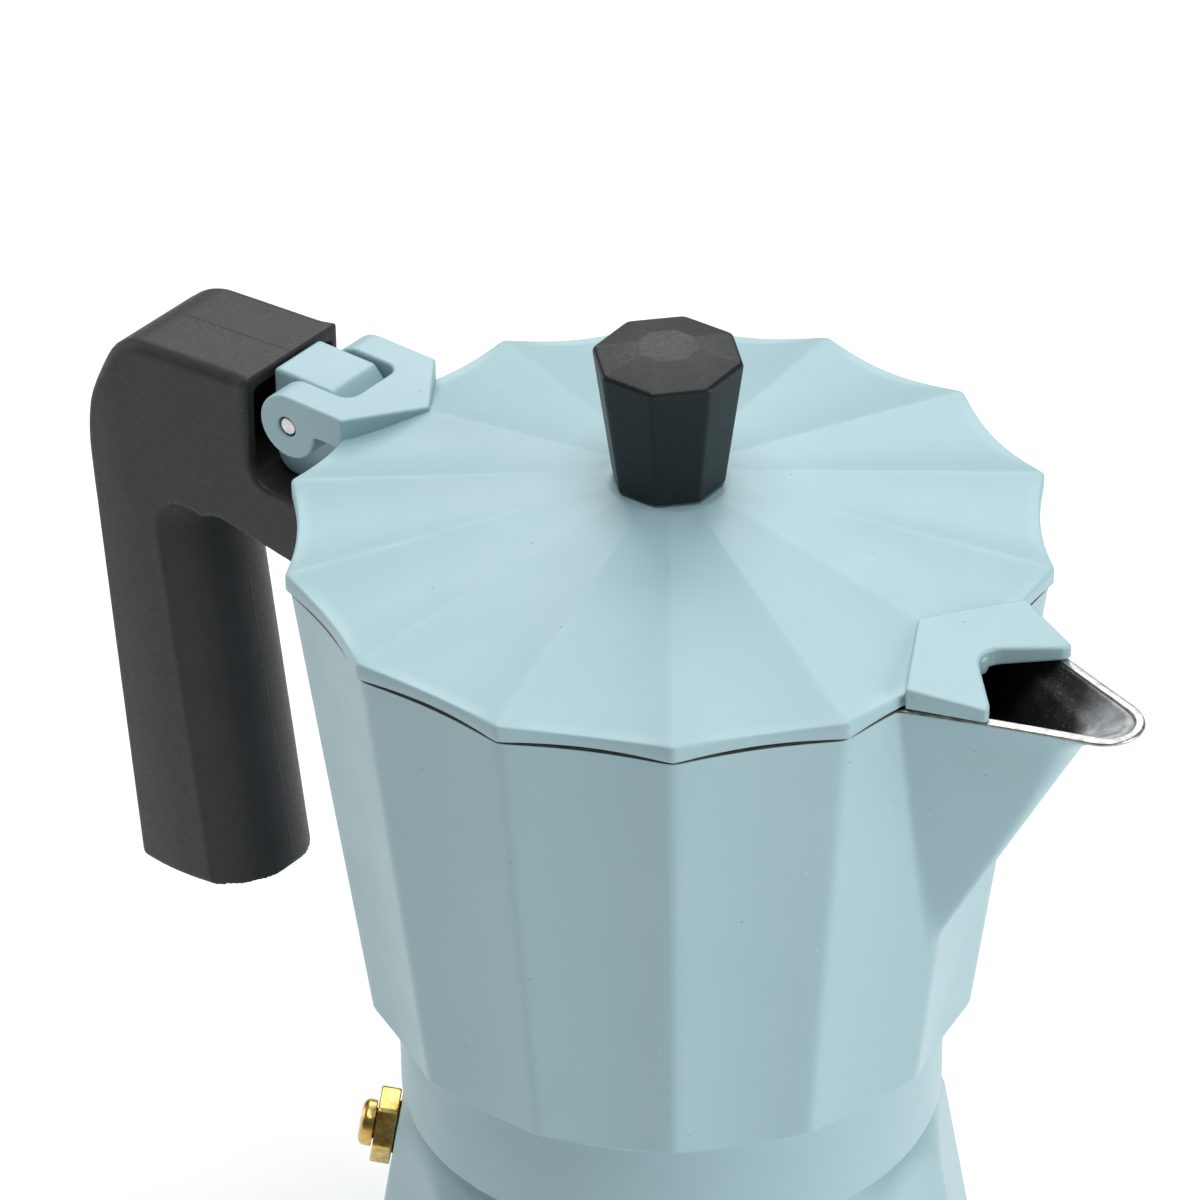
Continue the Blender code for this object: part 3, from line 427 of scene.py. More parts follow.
def blue_paint():
    """Pale blue stove enamel: a faint orange peel, slow changes of tone, and a few specks in the coat."""
    paint = Finish("pale_blue_enamel", 0.42, Coat_Weight=0.12, Coat_Roughness=0.3)
    tone = paint.mix(paint.between(paint.noise(28), 0, 1), (0.305, 0.470, 0.510), (0.319, 0.484, 0.524))
    tone = paint.mix(paint.specks(3.6, 0.16, 0.35), tone, (0.19, 0.29, 0.31))
    tone = paint.mix(paint.specks(5.2, 0.22, 0.22), tone, (0.40, 0.56, 0.60))
    paint.colour(tone)
    paint.roughness(paint.between(paint.noise(6), 0.40, 0.47))
    paint.bump(paint.noise(1.4, 3.0), 0.012)
    paint.bump(paint.specks(3.6, 0.16, 0.35), 0.03)
    return paint.material


def bright_aluminium():
    """A casting's rim: polished by hand round the spout, with fine scratches and dull patches. Away from
    the
    spout the rim is painted flat dark grey: a painted shadow for the shaded gap under the lid."""
    metal = Finish("polished_aluminium", 0.24, 1.0)
    tone = metal.mix(metal.between(metal.noise(1.6, 4.0), 0, 1), (0.30, 0.29, 0.28), (0.62, 0.61, 0.59))
    # painted shadow: the rim is flat dark grey everywhere but round the spout, for the shaded gap under the
    # lid
    spout = metal.climb(metal.axis("X"), SPOUT_ROOT_X - 0.7, SPOUT_ROOT_X + 0.3)
    metal.colour(metal.mix(spout, (0.10, 0.10, 0.10), tone))
    metal.roughness(metal.between(metal.noise(0.7, 4.0), 0.26, 0.5))
    metal.bump(metal.noise(0.9, 4.0), 0.02)
    return metal.material


def cast_aluminium():
    """The unpainted inside of a casting, very dark grey, with bright grains. Inside the spout's nose, just
    below
    the lip, it is paler: a painted highlight where light falls into the spout."""
    metal = Finish("raw_casting", 0.5, 0.35)
    clouds = metal.between(metal.noise(3.0, 4.0), 0, 1)
    tone = metal.mix(clouds, (0.028, 0.028, 0.030), (0.060, 0.060, 0.064))
    tone = metal.mix(metal.specks(0.34, 0.07, 0.40), tone, (0.34, 0.36, 0.37))
    nose = metal.climb(metal.axis("X"), SPOUT_KNEE_X - 3.0, SPOUT_KNEE_X + 2.0)
    lip = metal.climb(metal.axis("Z"), RIM_Z - 5.0, RIM_Z - 2.5)
    # painted highlight: a paler patch inside the spout's nose, just below the lip
    nose_highlight = metal.product(metal.product(nose, lip), metal.between(metal.noise(2.2, 3.0), 0.4, 1.0))
    metal.colour(metal.mix(nose_highlight, tone, (0.50, 0.52, 0.53)))
    metal.roughness(metal.between(metal.noise(0.8, 3.0), 0.38, 0.62))
    metal.bump(metal.noise(0.45, 3.0), 0.04)
    return metal.material


def spun_aluminium():
    """Aluminium turned on a lathe or pressed from sheet: soft and grey, with rings left by the tool."""
    metal = Finish("spun_aluminium", 0.36, 1.0)
    rings = metal.noise(0.35, 2.0, (0.15, 0.15, 6.0))
    tone = metal.mix(metal.between(metal.noise(9, 3.0), 0, 1), (0.62, 0.62, 0.61), (0.74, 0.74, 0.73))
    metal.colour(tone)
    metal.roughness(metal.between(rings, 0.28, 0.44))
    metal.bump(rings, 0.006)
    return metal.material


def black_plastic(name, deep, pale, roughness, seam):
    """Moulded plastic with a fine matt grain and a little dust. A seam is a hair-fine ridge where the two
    halves of the mould met, along Y = 0."""
    plastic = Finish(name, roughness, Specular_IOR_Level=0.32)
    tone = plastic.mix(plastic.between(plastic.noise(14, 3.0), 0, 1), deep, pale)
    tone = plastic.mix(plastic.specks(2.4, 0.10, 0.30), tone, (0.12, 0.12, 0.12))
    plastic.colour(tone)
    plastic.roughness(plastic.between(plastic.noise(0.5, 2.0), roughness - 0.06, roughness + 0.08))
    plastic.bump(plastic.noise(0.36, 2.0), 0.03)
    if seam:
        away = plastic.add("Math", (0, plastic.axis("Y")), operation="ABSOLUTE").outputs[0]
        plastic.bump(plastic.climb(away, 0.06, 0.16, 1.0, 0.0), 0.05)
    return plastic.material


def brass():
    """Turned brass, warm and slightly tarnished."""
    metal = Finish("brass", 0.26, 1.0)
    tone = metal.mix(metal.between(metal.noise(1.8, 4.0), 0, 1), (0.50, 0.31, 0.075), (0.80, 0.57, 0.20))
    metal.colour(tone)
    metal.roughness(metal.between(metal.noise(0.8, 3.0), 0.18, 0.38))
    metal.bump(metal.noise(0.5, 3.0), 0.01)
    return metal.material


def steel():
    metal = Finish("stainless_steel", 0.28, 1.0)
    tone = metal.mix(metal.between(metal.noise(1.2, 3.0), 0, 1), (0.50, 0.50, 0.50), (0.68, 0.68, 0.67))
    metal.colour(tone)
    metal.roughness(metal.between(metal.noise(0.5, 3.0), 0.22, 0.38))
    return metal.material


def silicone():
    """Cream silicone rubber, matt and faintly mottled."""
    rubber = Finish("white_silicone", 0.55, Subsurface_Weight=0.15, Subsurface_Scale=0.002)
    tone = rubber.mix(rubber.between(rubber.noise(5, 3.0), 0, 1), (0.74, 0.72, 0.66), (0.84, 0.82, 0.77))
    rubber.colour(tone)
    rubber.roughness(rubber.between(rubber.noise(0.8, 2.0), 0.48, 0.64))
    rubber.bump(rubber.noise(0.7, 2.0), 0.01)
    return rubber.material


PAINT = blue_paint()
BRIGHT = bright_aluminium()
CAST = cast_aluminium()
SPUN = spun_aluminium()
HANDLE_BLACK = black_plastic("handle_black", (0.022, 0.022, 0.023), (0.027, 0.027, 0.028), 0.50, True)
# the knob's plastic is near-black; its teal tint is a painted reflection of the blue lid round it
KNOB_BLACK_TEAL_REFLECTION = black_plastic("knob_black_teal_reflection", (0.006, 0.009, 0.010), (0.009, 0.013, 0.014), 0.40, False)
BRASS = brass()
STEEL = steel()
SILICONE = silicone()


# Boiler


def thread(angles, z, start, end):
    """Depth of the thread at an angle and a height: a rounded saw wave that climbs one pitch a turn
    anticlockwise, fading out over the first and last turns of its length."""
    phase = (z / THREAD_PITCH - angles / tau) % 1
    wave = 0.5 + 0.5 * np.sin(tau * phase) * (1.35 - 0.35 * np.abs(np.sin(tau * phase)))
    fade = ramp(z, start, start + 1.2) * (1 - ramp(z, end - 1.0, end))
    return THREAD_DEPTH * wave * fade


def shoulder(z):
    """Radius of the round shoulder over the boiler's flutes."""
    return SHOULDER_R + SHOULDER_SLOPE * (SEAT_Z - z)


def make_boiler():
    angles = cut_angles(FLUTES, 22, BOILER_TURN)
    soften = radians(0.7)
    bevel = 1.2

    def wall(z):
        flutes = fluted(angles - BOILER_TURN, BOILER_BASE_R - BOILER_SLOPE * z, BOILER_SAG, soften)
        return soft_min(flutes, shoulder(z), 0.7)

    foot = wall(np.array([[bevel]]))
    turn = np.radians(np.linspace(0, 90, 7))[:, None]
    base_share = np.array([0.02, 0.5, 0.86, 0.9, 0.93, 0.97])[:, None]
    recess = 0.5 * (1 - ramp(base_share, 0.86, 0.93))
    lower, middle, upper = np.linspace(bevel, 60, 14)[1:], np.arange(62, 68, 1.0), np.arange(68, 79, 0.28)
    heights = np.concatenate([lower, middle, upper])[:, None]
    seat = SEAT_Z - 0.25
    neck = np.arange(SEAT_Z + 0.2, NECK_TOP - 0.4, 0.22)[:, None]
    ridge = NECK_R - thread(angles, neck, SEAT_Z + 0.6, NECK_TOP)
    inner_top = SEAT_Z - 3.5
    inner_wall = BOILER_BASE_R * cos(pi / FLUTES) - 3.2
    floor = 3.5
    inside = rounded(
        [
            (NECK_R - 0.9, NECK_TOP, 0),
            (NECK_BORE_R, NECK_TOP, 0.5),
            (NECK_BORE_R, inner_top, 1.5),
            (inner_wall - BOILER_SLOPE * (inner_top - 6), inner_top - 6, 4),
            (inner_wall - BOILER_SLOPE * floor, floor, 4),
            (0.5, floor, 0),
        ]
    )
    parts = [
        round_grid(angles, (foot - bevel) * base_share, recess),
        round_grid(angles, foot - bevel + bevel * np.sin(turn), bevel - bevel * np.cos(turn)),
        round_grid(angles, wall(heights), heights),
        round_grid(angles, wall(np.array([[seat]])), seat),
        round_grid(angles, np.array([[SHOULDER_R - 0.3], [NECK_R + 0.15]]), SEAT_Z),
        round_grid(angles, ridge, neck),
        round_grid(angles, NECK_R - np.array([[0.35], [0.6]]), NECK_TOP - np.array([[0.3], [0.0]])),
        round_grid(angles, inside[:, :1], inside[:, 1:]),
    ]
    bare = sum(len(rows) for rows in parts[:4])
    piece = skin("boiler_casting", np.concatenate(parts), [(PAINT, 0), (SPUN, bare)])
    return show(piece, "boiler", "pale_blue_paint", "boiler")


# Pouring chamber


def chamber_ridge(z):
    return RIM_R - CHAMBER_SLOPE * (RIM_Z - z)


def chamber_wall(angles, z):
    """Radius of the chamber's outside without its spout: flutes inside a round envelope, which is a band
    round the waist and a cone above it."""
    above = z - WAIST_Z - WAIST_HEIGHT
    envelope = WAIST_R + CHAMFER_SLOPE * soft_max(above, 0 * above, 0.5)
    return soft_min(fluted(angles, chamber_ridge(z), CHAMBER_SAG, CHAMBER_SOFTEN), envelope, 0.5)


def spout_reach(angles, z, wall=0.0):
    """Radius of the spout's wall at an angle and a height. Each level is the hull of a round nose and of a
    root across the chamber's wall, so its sides are straight lines that touch the nose's circle. A wall
    moves nose and sides inwards."""
    height = 1 - (RIM_Z - z) / SPOUT_DEPTH
    knee = 1 - SPOUT_KNEE_DEPTH / SPOUT_DEPTH
    lift = np.clip((height - knee) / (1 - knee), 0, None)
    straight = SPOUT_FOOT_X + (SPOUT_KNEE_X - SPOUT_FOOT_X) * np.minimum(height, knee) / knee
    nose = straight + (SPOUT_TIP_X - SPOUT_KNEE_X) * (0.4 * lift + 0.6 * lift * lift)
    level = np.clip(height, 0, 1)
    radius = SPOUT_KEEL_R + (SPOUT_NOSE_R - SPOUT_KEEL_R) * level**3
    root = SPOUT_KEEL_R + (SPOUT_ROOT_HALF - SPOUT_KEEL_R) * level
    root_x = SPOUT_FOOT_X + (SPOUT_ROOT_X - SPOUT_FOOT_X) * level
    back = nose - radius - root_x
    lean = np.arccos(radius / np.hypot(root, back)) - np.arctan2(back, root)
    radius = np.maximum(radius - wall, 0.4 if np.any(wall) else 0.0)
    centre = nose - wall - radius
    side = (centre * np.sin(lean) + radius) / (
        np.abs(np.cos(angles)) * np.sin(lean) + np.abs(np.sin(angles)) * np.cos(lean)
    )
    front = centre * np.cos(angles) + np.sqrt(np.clip(radius**2 - (centre * np.sin(angles)) ** 2, 0, None))
    touch = np.arctan2(radius * np.cos(lean), centre + radius * np.sin(lean))
    away = np.abs((angles + pi) % tau - pi)
    past_root = np.minimum(away - np.arctan2(root, root_x), 0.5)
    end = np.hypot(root, root_x) * 0.5 / np.cos(pi / 3 - past_root)
    reach = np.where(away < touch, front, np.minimum(side, end))
    return np.where((away < 0.5) & (height > 0), reach, 0)


def rim_height(angles):
    """The rim climbs evenly from the spout's root to its tip."""
    x = spout_reach(angles, RIM_Z) * np.cos(angles)
    return RIM_Z + SPOUT_RISE * np.clip((x - SPOUT_ROOT_X) / (SPOUT_TIP_X - SPOUT_ROOT_X), 0, 1)


def make_chamber():
    sector = radians(17)  # the spout's share to each side, which has its own finer steps
    around = cut_angles(FLUTES, 14)
    around = around[(around > sector) & (around < tau - sector)]
    angles = np.sort(np.concatenate([around, np.arange(-sector, sector, radians(0.34))]))
    rim = rim_height(angles)
    edge = 0.45
    wall, lip, spout_wall = 2.6, 1.5, 2.4

    def outside(z):
        return soft_max(chamber_wall(angles, z), spout_reach(angles, z), 0.9)

    def inside(z):
        depth = RIM_Z - z
        hollow = chamber_ridge(z) * cos(pi / FLUTES) - CHAMBER_SAG - wall
        thickness = lip + (spout_wall - lip) * ramp(depth, 2.0, 2.7)
        return soft_max(hollow, spout_reach(angles, z, thickness), 1.5)

    waist = [[0.35], np.arange(0.8, 6, 0.8), np.arange(6, 15, 1.0), np.arange(15, 26, 0.26)]
    lift = np.concatenate([*waist, np.arange(26, 84, 1.1), np.arange(84, 91.8, 0.45)])[:, None]
    low = WAIST_Z + lift * (rim - edge - WAIST_Z) / (RIM_Z - edge - WAIST_Z)
    turn = np.radians(np.linspace(0, 90, 5))[:, None]
    rim_out, rim_in = outside(rim), inside(rim)
    depth = np.concatenate([np.arange(0.3, 6, 0.4), np.arange(6, 48, 1.3), np.linspace(49, 70, 6)])[:, None]
    well = rim - depth * (rim - CHAMBER_FLOOR_Z) / (RIM_Z - CHAMBER_FLOOR_Z)
    head = CHAMBER_FLOOR_Z + COLUMN_HEIGHT - COLUMN_HEAD
    column = rounded(
        [
            (chamber_ridge(CHAMBER_FLOOR_Z + 4) * cos(pi / FLUTES) - 3.5, CHAMBER_FLOOR_Z + 4.2, 0),
            (chamber_ridge(CHAMBER_FLOOR_Z) * cos(pi / FLUTES) - 3.5, CHAMBER_FLOOR_Z, 3.2),
            (COLUMN_FOOT_R, CHAMBER_FLOOR_Z, 2.5),
            (COLUMN_FOOT_R - COLUMN_TAPER * (head - CHAMBER_FLOOR_Z), head, 0),
            (COLUMN_BORE_R, head, 0),
            (COLUMN_BORE_R, CEILING_Z, 0.4),
            (SKIRT_R + 0.1, CEILING_Z, 0.3),
            (SKIRT_R + 0.1, CEILING_Z - 1.0, 0),
        ]
    )
    skirt = np.arange(CEILING_Z - 1.2, WAIST_Z + 0.5, -0.36)[:, None]
    worm = SKIRT_R - thread(angles, skirt, WAIST_Z + 0.6, NECK_TOP + 1.2) / 2
    bottom = np.array([[SKIRT_R + 0.4], [WAIST_R - 0.35]])
    parts = [
        round_grid(angles, outside(low), low),
        round_grid(angles, rim_out - edge * (1 - np.cos(turn)), rim - edge * (1 - np.sin(turn))),
        round_grid(angles, rim_in + edge * (1 - np.sin(turn)), rim - edge * (1 - np.cos(turn))),
        round_grid(angles, inside(well), well),
        round_grid(angles, column[:, :1], column[:, 1:]),
        round_grid(angles, worm, skirt),
        round_grid(angles, bottom, WAIST_Z),
    ]
    counts = np.cumsum([len(rows) for rows in parts])
    rim_start, well_start, column_start = counts[0] + 1, counts[2] - 1, counts[3] + 22
    looks = [(PAINT, 0), (BRIGHT, rim_start), (CAST, well_start), (SPUN, column_start), (PAINT, counts[5])]
    piece = skin("collector_casting", np.concatenate(parts), looks, ring=True)
    return show(piece, "top", "pale_blue_paint", "pouring_chamber")


def make_column_head():
    """The column's top: a tapering tube with a rounded closed end and an outlet on each side."""
    top = CHAMBER_FLOOR_Z + COLUMN_HEIGHT
    foot = top - COLUMN_HEAD - 0.05
    cap, outlet_half, outlet_drop = 2.5, 2.5, 7.5

    def field(x, y, z):
        radius = np.hypot(x, y)
        cone = radius - (COLUMN_TOP_R + COLUMN_TAPER * (top - z))
        solid = met(cone, np.maximum(z - top, foot - z), 1.2)
        solid = less(solid, np.maximum(radius - COLUMN_BORE_R, z - (top - cap)), 0.3)
        outlet = met(np.abs(y) - outlet_half, np.abs(z - (top - outlet_drop)) - outlet_half, 0.8)
        return less(solid, np.maximum(outlet, np.abs(x) - COLUMN_FOOT_R), 0.4)

    span = [(-7.5, 7.6, 0.25)]
    piece = carved("column_head", field, [span, span, [(foot - 1, top + 1, 0.25)]], SPUN)
    return show(piece, "top", "bare_aluminium")


def make_lug():
    """The block on the chamber that carries the hinge pin and reaches into the handle's mouth."""
    foot, back = EDGE_Z - 15.0, -67.7
    sunk = RIM_Z - 0.3
    path = rounded(
        [
            (back, EDGE_Z + 1.95, 0.9),
            (back, foot, 3.4),
            (-chamber_ridge(foot) + 1.4, foot, 0),
            (-chamber_ridge(sunk) + 1.6, sunk, 0),
            (-54.6, sunk, 0.5),
            (-54.9, EDGE_Z - 0.2, 1.5),
            (-56.9, EDGE_Z + 1.95, 1.2),
        ],
        closed=True,
    )

    def field(x, y, z):
        block = met(outline(path, x, z), np.abs(y) - LUG_HALF, 0.5)
        return less(block, np.hypot(x - PIN_X, z - PIN_Z) - PIN_R - FIT, 0.1)

    step = 0.3
    spans = [[(-68.6, -48, step)], [(-5.6, 5.7, step)], [(foot - 1, EDGE_Z + 3, step)]]
    return show(carved("hinge_lug", field, spans, PAINT), "top", "pale_blue_paint")


# Lid


def make_lid():
    angles = cut_angles(FLUTES, 24)
    edge_line = fluted(angles, LID_R, LID_SAG, radians(0.35))
    dip = fluted(angles, 0.0, -LID_DIP, radians(0.8))
    land = (8.0 + 0.6) / LID_R  # the knob's foot and a little round it
    seat = 1 - 7.0 / LID_R
    edge, hole = 0.45, 2.1

    def cone(share):
        return EDGE_Z + LID_APEX * (1 - share)

    turn = np.radians(np.linspace(0, 80, 5))[:, None]
    side = np.array([[LID_SEAT_Z + 0.25], [EDGE_Z - LID_DIP - edge - 0.2]])
    share = np.linspace(1 - 0.9 / LID_R, land + 0.03, 30)[:, None]
    hub = rounded(
        [
            (LID_R * land + 0.7, cone(land + 0.7 / LID_R), 0),
            (LID_R * land, cone(land), 0.6),
            (hole, cone(land), 0.3),
            (hole, cone(land) - LID_WALL, 0.3),
            (LID_R * land, cone(land) - LID_WALL, 0),
        ]
    )
    under = np.linspace(land + 0.02, seat - 0.02, 12)[:, None]
    step = seat + np.array([[0.0], [0.004], [0.12]])
    parts = [
        round_grid(angles, edge_line, side),
        round_grid(angles, edge_line - edge * (1 - np.cos(turn)), EDGE_Z - dip - edge * (1 - np.sin(turn))),
        round_grid(angles, edge_line * share, cone(share) - dip * ramp(share, land, 1.4 - land) * 1.6),
        round_grid(angles, hub[:, :1], hub[:, 1:]),
        round_grid(angles, edge_line * under, cone(under) - LID_WALL),
        round_grid(angles, edge_line * step[:1], cone(seat) - LID_WALL - 0.2),
        round_grid(angles, edge_line * step[1:], LID_SEAT_Z),
        round_grid(angles, edge_line - 0.25, LID_SEAT_Z),
    ]
    counts = np.cumsum([len(rows) for rows in parts])
    bare = counts[3] - 8  # from the lower edge of the knob screw's hole
    looks = [(PAINT, 0), (SPUN, bare), (PAINT, counts[6])]
    piece = skin("lid_casting", np.concatenate(parts), looks, ring=True)
    return show(piece, "lid", "pale_blue_paint", "lid")


def make_beak():
    """The plate over the spout: an arrowhead with a round-cornered notch, standing a little proud."""
    root, notch, fall = 42.5, 52.0, 0.11
    side = [(50.5, 13.7, 0), (61.2, 9.8, 0.5), (60.5, 8.4, 0.4)]
    mirrored = [(x, -y, radius) for x, y, radius in side]
    path = rounded([(root, 0, 0.6), *mirrored, (notch, 0, 3.6), *side[::-1]], closed=True)
    low = LID_SEAT_Z + 0.35

    def field(x, y, z):
        top = EDGE_Z + 1.8 - fall * (x - root)
        return met(outline(path, x, y), np.abs(z - (top + low) / 2) - (top - low) / 2, 0.4)

    spans = [[(41.5, 62.4, 0.27)], [(-14.8, 14.9, 0.27)], [(low - 0.8, EDGE_Z + 3, 0.22)]]
    return show(carved("lid_beak", field, spans, PAINT), "lid", "pale_blue_paint")


def make_fork():
    """The hinge's fork behind the lid: a flat arrowhead whose two arms end in round ears."""
    ears = [(x, z) for x, z, _ in arc(PIN_X, PIN_Z, EAR_R, 90, 358, 40)]
    front, low = -42.0, LID_SEAT_Z + 0.1
    side = np.array([(front, EDGE_Z + 2.35), *ears, (-55.0, low), (front, low)])
    end, fork, root, point = -66.5, -53.0, -50.4, -42.8
    slot = LUG_HALF + 0.5
    plan = rounded(
        [
            (end, -FORK_HALF, 0),
            (root, -FORK_HALF, 0.4),
            (point, 0, 0.4),
            (root, FORK_HALF, 0.4),
            (end, FORK_HALF, 0),
            (end, slot, 0),
            (fork, slot, 2.0),
            (fork, -slot, 2.0),
            (end, -slot, 0),
        ],
        closed=True,
    )

    def field(x, y, z):
        solid = met(outline(side, x, z), outline(plan, x, y), 0.4)
        return less(solid, np.hypot(x - PIN_X, z - PIN_Z) - PIN_R - FIT, 0.15)

    step, reach = 0.24, EAR_R + 0.7
    spans = [[(-66.4, -41.6, step)], [(-11.2, 11.3, step)], [(PIN_Z - reach, PIN_Z + reach, step)]]
    return show(carved("hinge_fork", field, spans, PAINT), "lid", "pale_blue_paint")


def make_pin():
    half = FORK_HALF - 0.25
    path = rounded([(0.05, -half, 0), (PIN_R, -half, 0.2), (PIN_R, half, 0.2), (0.05, half, 0)])
    place = Matrix.Translation((PIN_X, 0, PIN_Z)) @ Matrix.Rotation(pi / 2, 4, "X")
    piece = turned("hinge_rivet", path, STEEL, place=place, steps=48)
    return show(piece, "top", "stainless_steel", "hinge_pin")


def make_knob():
    """An eight-sided knob that widens upwards, under a low eight-sided crown with a small flat top."""
    turn = radians(25.6)
    angles = cut_angles(8, 24, turn)
    path = rounded(
        [
            (0.3, 0, 0),
            (8.0, 0, 0.5),
            (10.7, 19.6, 0.8),
            (4.2, 21.1, 2.2),
            (0.3, 21.25, 0),
        ],
        steps=8,
    )
    radius = path[:, :1] * flat_sided(angles - turn, 1.0, 8, 0.0, radians(1.6))
    grid = round_grid(angles, radius, KNOB_Z + path[:, 1:])
    return show(skin("octagonal_knob", grid, [(KNOB_BLACK_TEAL_REFLECTION, 0)]), "lid", "black_plastic", "knob")


# Handle


def make_handle():
    """The handle is a box-shaped arm and crown and a D-shaped grip, blended where they meet and trimmed by
    one side outline. Its open mouth is hollow, and its lower arm ends against the fluted wall."""
    e = EDGE_Z
    lean = 5.4 / 77.7  # the back runs in by this much for each step down
    trim = rounded(
        [
            (MOUTH_X, e + 1.9, 0.4),
            (-93.0, e + 0.2, 10.5),
            (-101.45, e - 12.0, 33.0),
            (-95.6, e - 94.2, 1.0),
            (-72.4, e - 91.0, 0.9),
            (-80.9, e - 23.0, 5.4),
            (-40.0, e - 29.7, 0),
            (-40.0, e - 15.3, 0),
            (MOUTH_X, e - 15.3, 3.8),
        ],
        closed=True,
        steps=9,
    )
    arm = rounded(
        [
            (MOUTH_X + 30, e + 8, 0),
            (-112.0, e + 8, 0),
            (-112.0, e - 110.0, 0),
            (-81.5, e - 110.0, 0),
            (-91.3, e - 22.8, 6.5),
            (-38.0, e - 31.4, 0),
        ],
        closed=True,
        steps=9,
    )
    mouth, deep = MOUTH_X + 4, -81.0
    hollow = rounded(
        [(deep, e - 13.6, 2.5), (mouth, e - 13.6, 0), (mouth, e - 0.1, 0), (deep, e - 1.0, 2.5)],
        closed=True,
    )
    nose = np.array((-80.4, e - 28.0)), np.array((-72.4, e - 91.0))
    along = (nose[1] - nose[0]) / np.hypot(*(nose[1] - nose[0]))
    out = np.array((-along[1], along[0]))
    wall_thickness = 1.9
    well_x, well_r = -61.5, 3.3  # for the handle's screw, from below

    def field(x, y, z):
        ahead = (x - nose[0][0]) * out[0] + (z - nose[0][1]) * out[1] + HANDLE_HALF
        half = HANDLE_HALF - np.minimum(ahead, 0) ** 2 / (2 * HANDLE_BULGE_R)
        grip = np.hypot(y, np.maximum(ahead, 0)) - half
        body = soft_min(outline(arm, x, z), grip, 6.0)
        edge = 0.7 + 1.2 * ramp(z, e - 14, e - 6) * ramp(-x, -MOUTH_X - 1.5, -MOUTH_X + 3.5)
        whole = np.maximum(met(outline(trim, x, z), np.abs(y) - half, edge), body)
        cavity = met(outline(hollow, x, z), np.abs(y) - HANDLE_HALF + wall_thickness, 1.0)
        whole = less(whole, cavity, 0.35)
        flutes = fluted(np.arctan2(y, x), chamber_ridge(z), CHAMBER_SAG, CHAMBER_SOFTEN)
        whole = less(whole, np.hypot(x, y) - flutes - 0.4, 0.5)
        well = np.maximum(np.hypot(x - well_x, y) - well_r, z - (e - 21.3))
        return less(whole, well, 0.4)

    spans = [[(-102.6, -46.0, 0.42)], [(-11.0, 11.1, 0.42)], [(e - 95.4, e + 3.2, 0.45)]]
    return show(carved("moulded_handle", field, spans, HANDLE_BLACK), "top", "black_plastic", "handle")


# Safety valve


def valve_place():
    """A frame whose Z points straight out of the boiler's wall, in the middle of a flute, from its face."""
    height = 66.7
    flute = -5.5  # in flutes round from the front
    radius = (BOILER_BASE_R - BOILER_SLOPE * height) * cos(pi / FLUTES) - BOILER_SAG
    return (
        Matrix.Rotation(BOILER_TURN + flute * tau / FLUTES, 4, "Z")
        @ Matrix.Translation((radius, 0, height))
        @ Matrix.Rotation(pi / 2 - BOILER_SLOPE, 4, "Y")
    )


def make_valve():
    place = valve_place()
    angles = cut_angles(6, 16)
    corner_r = 5.8
    hexagon = flat_sided(angles + pi / 6, corner_r, 6, 0.0, radians(1.5))
    stem = rounded([(0.2, -7.0, 0), (3.9, -7.0, 0.4), (3.9, 0.35, 0)])
    flats = np.linspace(0.35, 3.3, 15)[:, None]
    bevel = 5.2 + 1.9 * np.minimum(flats - 0.15, 3.5 - flats)
    face = rounded([(4.6, 3.3, 0), (2.6, 3.3, 0.1), (2.6, 2.6, 0.1), (0.2, 2.6, 0)])
    grid = np.concatenate(
        [
            round_grid(angles, stem[:, :1], stem[:, 1:]),
            round_grid(angles, soft_min(hexagon, bevel, 0.25), flats),
            round_grid(angles, face[:, :1], face[:, 1:]),
        ]
    )
    grid = grid @ np.array(place)[:3, :3].T + np.array(place)[:3, 3]
    show(skin("valve_hexagon", grid, [(BRASS, 0)]), "boiler", "brass", "valve_body")
    bore, boss_r, boss_top = 0.95, 3.5, 5.6
    path = rounded(
        [
            (bore, 2.9, 0),
            (2.3, 2.9, 0),
            (2.3, 3.5, 0),
            (boss_r, 3.5, 0.2),
            (boss_r, boss_top, 1.2),
            (bore, boss_top, 0.25),
        ],
        closed=True,
    )
    boss = turned("valve_boss", path, BRASS, ring=True, steps=64, place=place)
    show(boss, "boiler", "brass", "valve_cap")
    flange_r, flange_low, flange_top, pin_r, pin_top = 2.2, -5.5, -4.2, 0.6, 5.7
    stalk = rounded(
        [
            (0.05, flange_low, 0),
            (flange_r, flange_low, 0.2),
            (flange_r, flange_top, 0.2),
            (pin_r, flange_top, 0),
            (pin_r, pin_top, 0.25),
            (0.05, pin_top, 0),
        ]
    )
    pin = turned("valve_stalk", stalk, STEEL, steps=32, place=place)
    show(pin, "valve_plunger", "stainless_steel", "valve_pin")


# Funnel, gasket and sieves


